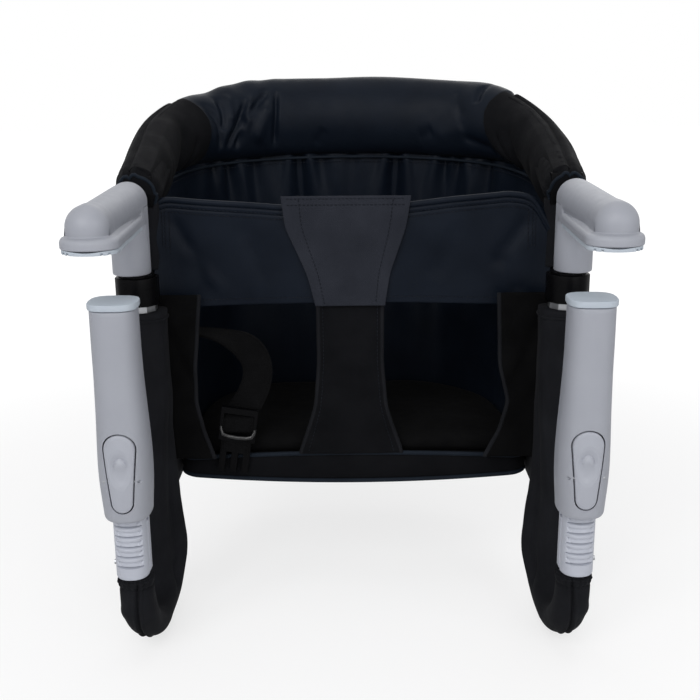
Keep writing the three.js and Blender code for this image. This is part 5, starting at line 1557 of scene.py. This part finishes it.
def rib_depth(x, z):
    """How deep the rod's front lies under its rails: full-width ridges, and slant-ended pockets between."""
    up = (z - ROD_LOW_Z - RIB_START) / RIB_PITCH
    down = 1 - np.mod(up, 1)
    across = np.abs(x)
    ridge = RIDGE_DEPTH + 0.8 * ((down - RIDGE_SHARE) / RIDGE_SHARE) ** 2
    pocket = POCKET_DEPTH - POCKET_SLOPE * (down - 0.48) / 0.52
    wedge = RIB_HALF - 0.6 - RIB_WEDGE * np.clip((down - 0.30) / 0.6, 0, 1)
    slope = np.clip((RIB_HALF - across) / np.maximum(RIB_HALF - wedge, 0.1), 0, 1)
    lower = np.where(across < wedge, pocket, pocket * slope * 0.75)
    depth = ridge + (lower - ridge) * rise(down, 0.40, 0.08)
    line = RIB_LINE_DEPTH * bump(np.minimum(down, 1 - down), 0, 0.05) * fall(across, RIB_HALF, 1.2)
    depth = (depth + line) * np.clip((RIB_HALF - across) / 0.5, 0, 1)
    return np.where((across < RIB_HALF) & (up > -0.04) & (up < RIB_COUNT), depth, 0.0)


def rod_sides():
    """The rod's smooth cheeks and back: a grooved cheek, a round corner and the same mirrored."""
    turn = np.linspace(0, np.pi / 2, 8)
    corner_x = ROD_HALF - ROD_CORNER * (1 - np.cos(turn))
    corner = np.stack([corner_x, ROD_CORNER_Y + ROD_CORNER * np.sin(turn)], -1)
    cheek = np.stack([np.full(16, ROD_HALF), np.linspace(-1.5, ROD_CORNER_Y, 16)], -1)
    cheek[:, 0] -= GROOVE_DEPTH * rise(cheek[:, 1], -1.4, 0.8) * fall(cheek[:, 1], 2.6, 1.0)
    half = np.concatenate([cheek, corner])
    return np.concatenate([half, (half * (-1, 1))[::-1]])


def ratchet_rod(side, sign):
    """The bar with its smooth cheeks and the ribbed front between them."""
    ribs = (np.arange(RIB_COUNT)[:, None] + RIB_SHARES).ravel() * RIB_PITCH + RIB_START
    ends = [RIB_START + RIB_COUNT * RIB_PITCH, ROD_TOP_Z - ROD_LOW_Z]
    plain = np.concatenate([ROD_PLAIN, ribs, ends])
    heights = np.concatenate([[height for height, _ in ROD_FOOT], plain]) + ROD_LOW_Z
    insets = np.concatenate([[inset for _, inset in ROD_FOOT], np.zeros(len(plain))])
    front = np.linspace(-ROD_HALF + 0.25, ROD_HALF - 0.25, 81)
    face_y = -ROD_FRONT * (1 - (np.abs(front) / ROD_HALF) ** ROD_ROUND) ** (1 / ROD_ROUND)
    rest = rod_sides()
    rings = []
    for z, inset in zip(heights, insets):
        ahead = np.stack([front, face_y + rib_depth(front, z)], -1)
        outline = np.concatenate([ahead, rest]) * (1 - inset / ROD_HALF)
        level = np.full(len(outline), z)
        rings.append(np.column_stack([outline[:, 0] - LEAN_IN, POST_Y + outline[:, 1], level]))
    # The rod's lighter grey is painted light
    rod = skin(f"{side}_rod_moulding", mirrored(rings, sign), f"{side}_arm", GREY_LIT_ROD, f"{side}_ratchet_rod")
    tool = box_tool((-ROD_HALF - ROD_SLOT["out"], -ROD_HALF + ROD_SLOT["in"] - LEAN_IN),
                    (POST_Y - ROD_SLOT["ahead"], POST_Y + ROD_SLOT["behind"]),
                    (ROD_LOW_Z + ROD_SLOT["low"], ROD_TOP_Z - ROD_SLOT["top"]), sign)
    combined(rod, tool, "DIFFERENCE")
    smooth_by_angle(rod, 38)


# Leg cloth: one sleeve from the seat down the leg, round the bend and up to the rod
BOOT_STRAIGHT = 15.6
BEND_R = (LEG_Y - POST_Y) / 2
BEND_Z = ROD_LOW_Z - BOOT_STRAIGHT
LEG_HALF = 21.5
LEG_DEEP = 16.3
LEG_POWER = 3.2
LEG_SIDES = 150
BOOT_HALF = 12.3
BOOT_DEEP = 12.2
BOOT_POWER = 2.3
BOOT_PUFF = 1.2
LEG_PINCH = 3.4
LEG_PINCH_BEFORE = 22
LEG_PINCH_WIDE = 34
LEG_HEM_R = 1.2
BOOT_HEM_R = 1.1
# How far the cloth and its tube stand inward at distances past the start of the bend
SHIFT_REACH = (-40, -10, 12, 36, 67, 100, 130, 150)
SHIFT_IN = (0, 2.4, 5.2, 6.6, 7.0, 4.6, 2.9, 2.4)
# Where the boot's seam lies by the way left to its mouth, and the leg's edge by the way past the bend
BOOT_SEAM_LEFT = (0, 12, 40, 60, 90)
BOOT_SEAM_X = (-3.4, -2.8, 0.8, 1.6, 2.4)
LEG_EDGE_DOWN = (-150, -110, -40, 5, 40)
LEG_EDGE_X = (-19, -16, -9, -5, -2)
LEG_FOLD = ((14, -60), (6, 10), 4, -1.0)


def leg_path():
    """The leg's axis in Y and Z: down, round the bend and up to the rod; and the number of points down."""
    leg = [(LEG_Y, z) for z in np.linspace(LEG_FABRIC_TOP_Z, BEND_Z, 110)]
    turn = [(LEG_Y - BEND_R + BEND_R * math.cos(a), BEND_Z - BEND_R * math.sin(a))
            for a in np.linspace(0, np.pi, 90)[1:]]
    up = [(POST_Y, z) for z in np.linspace(BEND_Z, ROD_LOW_Z - 0.4, 24)[1:]]
    return np.array([(0, y, z) for y, z in leg + turn + up], float), len(leg)


def leg_cloth(side, sign):
    path, down_count = leg_path()
    reach = run_along(path)
    total = reach[-1]
    bend_start = reach[down_count - 1]
    over = np.cross(unit(np.gradient(path, axis=0)), (1, 0, 0))
    angle = around(LEG_SIDES)
    c, s = np.cos(angle), np.sin(angle)
    rings = []
    for point, out, far in zip(path, over, reach):
        turned = (far - bend_start) / (total - bend_start)
        toward = rise(turned, -0.05, 0.6)
        half = LEG_HALF + (BOOT_HALF - LEG_HALF) * toward + BOOT_PUFF * bump(turned, 0.75, 0.2)
        deep = LEG_DEEP + (BOOT_DEEP - LEG_DEEP) * toward
        across, lift = squared_round(angle, LEG_POWER + (BOOT_POWER - LEG_POWER) * toward)
        pinch = LEG_PINCH * bump(far, bend_start - LEG_PINCH_BEFORE, LEG_PINCH_WIDE)
        across = across * half + pinch * np.minimum(c, 0)
        grow = 0.5 * ripples(angle * 12, far, 45, 40 + sign)
        grow = grow + leg_creases(far - bend_start, total - far, c, s, across)
        across = across - np.interp(far - bend_start, SHIFT_REACH, SHIFT_IN) + c * grow
        rings.append(point + np.outer(across, (1.0, 0, 0)) + np.outer(lift * deep + s * grow, out))
    centre = path[-2] - (SHIFT_IN[-1], 0, 0)
    rings[-1] = rings[-2] + (path[-1] - path[-2]) * 0.4 + (centre - rings[-2]) * 0.08
    piece = skin(f"{side}_leg_cloth", mirrored(rings, sign), None, OUTER, f"{side}_boot",
                 f"{side}_leg_sleeve")
    bend_with_arm(piece)
    closed_roll(f"{side}_leg_hem", mirrored(rings[3], sign), LEG_HEM_R, OUTER)
    closed_roll(f"{side}_boot_hem", mirrored(rings[-5], sign), BOOT_HEM_R, OUTER, 8, f"{side}_arm")


def leg_creases(down, left, c, s, across):
    """Seams and folds of the leg's cloth: along the boot's front, round its mouth and down the leg's edge."""
    front = rise(s, -0.1, 0.3)
    ahead = fall(s, 0.1, 0.3)
    boot = rise(left, -2, 8) * rise(down, 66, 22)
    seam = np.interp(left, BOOT_SEAM_LEFT, BOOT_SEAM_X)
    grow = ahead * boot * (1.1 * bump(np.abs(across - seam), 2.6, 1.2) - 2.6 * bump(across, seam, 0.9))
    grow = grow + 0.55 * bump(left, 3, 6) * np.sin(across * 1.9)
    grow = grow + 0.6 * bump(left, 5, 2.4) - 1.2 * bump(left, 8.5, 1.2)
    grow = grow + ahead * 1.2 * bump(left - 0.5 * across, 24, 5) * rise(across, -2, 6)
    edge = np.interp(down, LEG_EDGE_DOWN, LEG_EDGE_X)
    leg = rise(down, -150, 40) * fall(down, 50, 30)
    grow = grow + front * leg * (1.6 * bump(across, edge, 2.6) - 9 * fall(across, edge, 17))
    grow = grow + front * 0.9 * crease(across, down, *LEG_FOLD)
    return grow + 0.4 * np.sin(down / 9 + 2 * c) * bump(down, 62, 20) * ahead


def bend_with_arm(piece):
    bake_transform(piece)


# Steel under the covers
STEEL_PLAY = 0.45
COVER_FADE_Z = -20
COVER_FADE_SPAN = 20
STUB_MARGIN_Y = 20
STUB_MARGIN_Z = 3


def cloth_shift(y, z):
    """How far the leg's tube stands inward with its cloth, at a place along their run."""
    if z > BEND_Z:
        reach = BEND_Z - z if y > LEG_Y - BEND_R else math.pi * BEND_R + z - BEND_Z
    else:
        reach = math.atan2(BEND_Z - z, y - (LEG_Y - BEND_R)) * BEND_R
    return float(np.interp(reach, SHIFT_REACH, SHIFT_IN))


def under_cover(side, sign, name):
    """A steel piece that stands outward with the cover over it, and inward with the leg's cloth."""
    points, faces = node_shape(f"{side}_{name}")
    normals = [vertex.normal for vertex in NODES[f"{side}_{name}"].data.vertices]
    moved = []
    for x, y, z in (point - normal * STEEL_PLAY for point, normal in zip(points, normals)):
        if z >= COVER_FADE_Z:
            shift = (barrel_size(y)[0] - COVER_SHIFT) * rise(z, COVER_FADE_Z, COVER_FADE_SPAN)
        elif y < POST_Y + STUB_MARGIN_Y and z > ROD_LOW_Z - STUB_MARGIN_Z:
            shift = -LEAN_IN
        else:
            shift = -cloth_shift(y, z)
        moved.append((x + sign * shift, y, z))
    piece = finished(f"{side}_{name}_steel", moved, faces, f"{side}_arm", STEEL, f"{side}_{name}")
    smooth_by_angle(piece, 40)


# Cuff over the bracket of the hoop's end
CUFF_TOP_Z = 15
CUFF_LENGTH = 55
CUFF_HALF = 15.5
CUFF_NARROWER = 2.6
CUFF_DEEP = 9.8
CUFF_THINNER = 1.2
CUFF_Y = 50
CUFF_SIDES = 56


def corner_cuff(side, sign):
    """The cloth drawn over the bracket that carries the hoop's end."""
    rings = []
    angle = around(CUFF_SIDES)
    across, along = squared_round(angle, 2.5)
    for share in np.linspace(0, 1, 30):
        z = CUFF_TOP_Z - CUFF_LENGTH * share
        half = CUFF_HALF - CUFF_NARROWER * eased(share * 1.6) + 0.5 * math.sin(share * 9)
        x = across * half + 0.5 * ripples(angle * 9, z, 20, 60 + sign)
        y = CUFF_Y + along * (CUFF_DEEP - CUFF_THINNER * share)
        rings.append(np.stack([x, y, np.full(CUFF_SIDES, z)], -1))
    skin(f"{side}_corner_cuff", mirrored(rings, sign), "seat", OUTER)


# Buckle halves and belts. Routes are points in X, Y and Z, twists are degrees from the even lie.
BELT_WIDE = 25
TAIL_WIDE = BELT_WIDE - 2
RIGHT_BELT_WIDE = BELT_WIDE - 1
BELT_THICK = 1.5
BELT_EDGE_STITCH = (2.2, 1.7, 0.35)
BELT_EDGE_PROUD = 0.8
BUCKLE_TURN = math.radians(8.5)
BUCKLE_TOP_X = -95.0
BUCKLE_TOP_Z = -166.0
BUCKLE_SHIFT = -1.5
BUCKLE_BAR = ((-109.4, 45.4, -176), (-109.1, 44.2, -180), (-107.4, 43.2, -183.6), (-103, 42.8, -185),
              (-95, 42.6, -185.4), (-87, 42.8, -185), (-82.6, 43.2, -183.6), (-80.9, 44.2, -180),
              (-80.6, 45.4, -176))
BUCKLE_BAR_R = 1.9
BELT_WAY = ((-143, 82, -101), (-120, 76, -101), (-97, 67, -105), (-83, 58, -115), (-79, 52, -128),
            (-82, 49.5, -142), (-89, 50.5, -156))
BELT_TWIST = (60, 35, 12, 0, -3, -6, -8)
BELT_WRAP = ((-95, 50.8, -165), (-95, 45, -167.4), (-95, 42.7, -170), (-95, 42.5, -176), (-95, 43.4, -180.4),
             (-95, 50.6, -183))
BELT_TAIL = ((-95, 48, -187.5), (-95, 43.2, -190), (-95.4, 42.2, -194), (-95.6, 42.6, -199))
RIGHT_BELT_BOW = 0.4
RIGHT_BELT_END = 8


def webbing(name, path, wide, twist, *replaced):
    """A flat strap along a path, turned about it by its twists, with a stitched edge on both faces."""
    path = np.asarray(path, float)
    t = np.linspace(0, 1, len(path))
    fine = np.linspace(0, 1, 12 * len(path))
    curve = np.stack([smoothed(fine * 100, t * 100, path[:, k], 7) for k in range(3)], -1)
    along = unit(np.gradient(curve, axis=0))
    turn = np.radians(np.interp(fine, t, twist))[:, None]
    wide_way = np.cos(turn) * (1, 0, 0) + np.sin(turn) * (0, 1, 0)
    wide_way = unit(wide_way - along * (wide_way * along).sum(1, keepdims=True))
    grid = curve[:, None] + np.linspace(-wide / 2, wide / 2, 15)[None, :, None] * wide_way[:, None]
    strap = sheet(name, grid, BELT_THICK, "seat", BELT, *replaced)
    for at, side in ((1, "left"), (-2, "right")):
        for way, face in ((1, "front"), (-1, "rear")):
            normal = normals_of(grid)[:, at] * way
            line = grid[:, at] + normal * BELT_EDGE_PROUD
            stitches(f"{name}_{side}_{face}_edge", line, normal, BELT, *BELT_EDGE_STITCH)


def hanging(points):
    """Places on the buckle as it hangs: turned a little about the top of its frame."""
    c, s = math.cos(BUCKLE_TURN), math.sin(BUCKLE_TURN)
    moved = []
    for x, y, z in points:
        across, down = x - BUCKLE_TOP_X, z - BUCKLE_TOP_Z
        new_x = BUCKLE_TOP_X + BUCKLE_SHIFT + c * across + s * down
        moved.append((new_x, y, BUCKLE_TOP_Z - s * across + c * down))
    return np.array(moved)


def male_buckle():
    """The male half, hanging askew, with its raised rounded bar."""
    points, faces = node_shape("buckle_male")
    soften_edges(finished("buckle_male_frame", hanging(points), faces, "seat", BLACK, "buckle_male"), 0.7)
    bar = hanging(BUCKLE_BAR)
    path = at_run(np.arange(len(bar)), bar, np.linspace(0, len(bar) - 1, 60))
    skin("buckle_male_bar", round_tube(path, BUCKLE_BAR_R, 14), "seat", GLOSS)


def belts():
    """The lap belt's two webbings: the left one wraps its buckle's middle bar and ends in a short tail."""
    way = np.concatenate([BELT_WAY, hanging(BELT_WRAP)])
    webbing("belt_left_strap", way, BELT_WIDE, BELT_TWIST + (0,) * len(BELT_WRAP), "belt_left")
    webbing("belt_tail_strap", hanging(BELT_TAIL), TAIL_WIDE, (0,) * len(BELT_TAIL))
    low, high = (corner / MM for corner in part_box("belt_right"))
    x, y = (low.x + high.x) / 2, (low.y + high.y) / 2
    way = ((x, y, high.z), (x + RIGHT_BELT_BOW, y, high.z - RIGHT_BELT_END),
           (x, y, low.z + RIGHT_BELT_END), (x, y, low.z))
    webbing("belt_right_strap", way, RIGHT_BELT_WIDE, (90,) * len(way), "belt_right")
    male_buckle()
    rounded("buckle_female", "seat", BLACK, 0.6)


# Camera, floor and light, in metres
CAMERA_AT = (0, -0.7955, 0.127)
CAMERA_DOWN = 15.7
CAMERA_ROLL = 0.45
CAMERA_SHIFT = -0.0043
CAMERA_LENS = 54
CAMERA_SENSOR = 36
FLOOR_HALF = 6
FLOOR_DROP = 0.002
FLOOR_COLOUR = (0.9, 0.9, 0.91, 1)
FLOOR_WHITE = 1.12
# Distance from the middle at which the floor starts to turn white, and at which it is
FLOOR_FADE = {"From_Min": 0.5, "From_Max": 1.3, "To_Min": 0.62, "To_Max": 1.0}
AMBIENT = 0.36
# Name, place, watts, size and aim of each lamp
LAMPS = (
    ("key", (-0.7, -1.7, 1.15), 22, 1.4, (0, 0, -0.05)),
    ("fill", (1.0, -1.5, 0.6), 9, 1.4, (0, 0, -0.1)),
    ("top", (0, 0.3, 1.9), 6, 1.5, (0, 0.1, 0)),
    ("back", (0.3, 1.6, 0.9), 5, 1.4, (0, 0.1, 0)),
)


def placed(name, data):
    piece = bpy.data.objects.new(name, data)
    bpy.context.scene.collection.objects.link(piece)
    return piece


def camera():
    data = bpy.data.cameras.new("camera")
    piece = placed("camera", data)
    piece.location = CAMERA_AT
    tilt, roll = math.radians(90 - CAMERA_DOWN), math.radians(-CAMERA_ROLL)
    piece.rotation_euler = (Matrix.Rotation(tilt, 3, "X") @ Matrix.Rotation(roll, 3, "Z")).to_euler()
    data.sensor_width = CAMERA_SENSOR
    data.lens = CAMERA_LENS
    data.shift_x = CAMERA_SHIFT
    bpy.context.scene.camera = piece


def floor():
    """A pale floor that keeps the object's shadow and turns white further out."""
    z = CAD_BOX[0].z - FLOOR_DROP
    corners = [(x * FLOOR_HALF, y * FLOOR_HALF, z) for x, y in ((-1, -1), (1, -1), (1, 1), (-1, 1))]
    mesh = bpy.data.meshes.new("floor")
    mesh.from_pydata(corners, [], [[0, 1, 2, 3]])
    material, tree, shader = new_material("pale_floor")
    feed(tree, shader.inputs["Base Color"], FLOOR_COLOUR)
    feed(tree, shader.inputs["Roughness"], 0.9)
    feed(tree, shader.inputs["Specular IOR Level"], 0.1)
    far = add_node(tree, "ShaderNodeVectorMath", {"operation": "LENGTH"})
    feed(tree, far.inputs[0], place(tree))
    soft = {"interpolation_type": "SMOOTHSTEP"}
    share = add_node(tree, "ShaderNodeMapRange", soft, Value=far.outputs["Value"], **FLOOR_FADE)
    rays = add_node(tree, "ShaderNodeLightPath")
    seen_white = added(tree, share.outputs["Result"], rays.outputs["Is Camera Ray"], "MULTIPLY")
    white = add_node(tree, "ShaderNodeEmission", Strength=FLOOR_WHITE)
    mix = add_node(tree, "ShaderNodeMixShader")
    for socket, value in zip(mix.inputs, (seen_white, shader.outputs[0], white.outputs[0])):
        feed(tree, socket, value)
    feed(tree, tree.nodes["Material Output"].inputs["Surface"], mix.outputs[0])
    mesh.materials.append(material)
    placed("floor", mesh)


def surroundings():
    """White where the camera, gloss or glass sees it, and dim where it lights the object."""
    world = bpy.data.worlds.new("world")
    bpy.context.scene.world = world
    world.use_nodes = True
    tree = world.node_tree
    background = tree.nodes["Background"]
    rays = add_node(tree, "ShaderNodeLightPath")
    seen = added(tree, rays.outputs["Is Camera Ray"], rays.outputs["Is Glossy Ray"], "MAXIMUM")
    seen = added(tree, seen, rays.outputs["Is Transmission Ray"], "MAXIMUM")
    strength = added(tree, added(tree, seen, 1 - AMBIENT, "MULTIPLY"), AMBIENT)
    feed(tree, background.inputs["Strength"], strength)
    feed(tree, background.inputs["Color"], (1, 1, 1, 1))


def lamps():
    for name, place_at, watts, size, aim in LAMPS:
        light = bpy.data.lights.new(name, "AREA")
        light.energy = watts
        light.size = size
        lamp = placed(name, light)
        lamp.location = place_at
        lamp.rotation_euler = (Vector(aim) - lamp.location).to_track_quat("-Z", "Y").to_euler()


def dress_node(name, material):
    node = NODES[name]
    node.data.materials.clear()
    node.data.materials.append(material)


camera()
floor()
surroundings()
lamps()
bpy.context.scene.view_settings.view_transform = "Standard"
tub_shell()
rim_cover()
tub_lining()
headrest()
seam_piping()
for NAME, SIGN in SIDES.items():
    side_pad(NAME, SIGN)
seat_base()
seat_cushion()
front_panel()
front_flap()
crotch_panel()
for NAME, SIGN in SIDES.items():
    side_gusset(NAME, SIGN)
    arm_cover(NAME, SIGN)
    column_cover(NAME, SIGN)
    arm_pad(NAME, SIGN)
    clamp_sleeve(NAME, SIGN)
    release_lever(NAME, SIGN)
    ratchet_rod(NAME, SIGN)
    leg_cloth(NAME, SIGN)
    lever_pin(NAME, SIGN)
    corner_cuff(NAME, SIGN)
    under_cover(NAME, SIGN, "arm_tube")
    under_cover(NAME, SIGN, "cover_screw")
    for NODE in ("rod_bolt", "leg_collar", "lever_spring"):
        dress_node(f"{NAME}_{NODE}", STEEL)
    dress_node(f"{NAME}_swivel_bush", BLACK)
    rounded(f"{NAME}_rod_plug", f"{NAME}_arm", BLACK, 0.5)
    rounded(f"{NAME}_hoop_bracket", "seat", BLACK, 0.5)
    rounded(f"{NAME}_clamp_pad", f"{NAME}_clamp", PAD_GREY, 0.8)
dress_node("hoop_tube", STEEL)
belts()

bpy.context.view_layer.update()
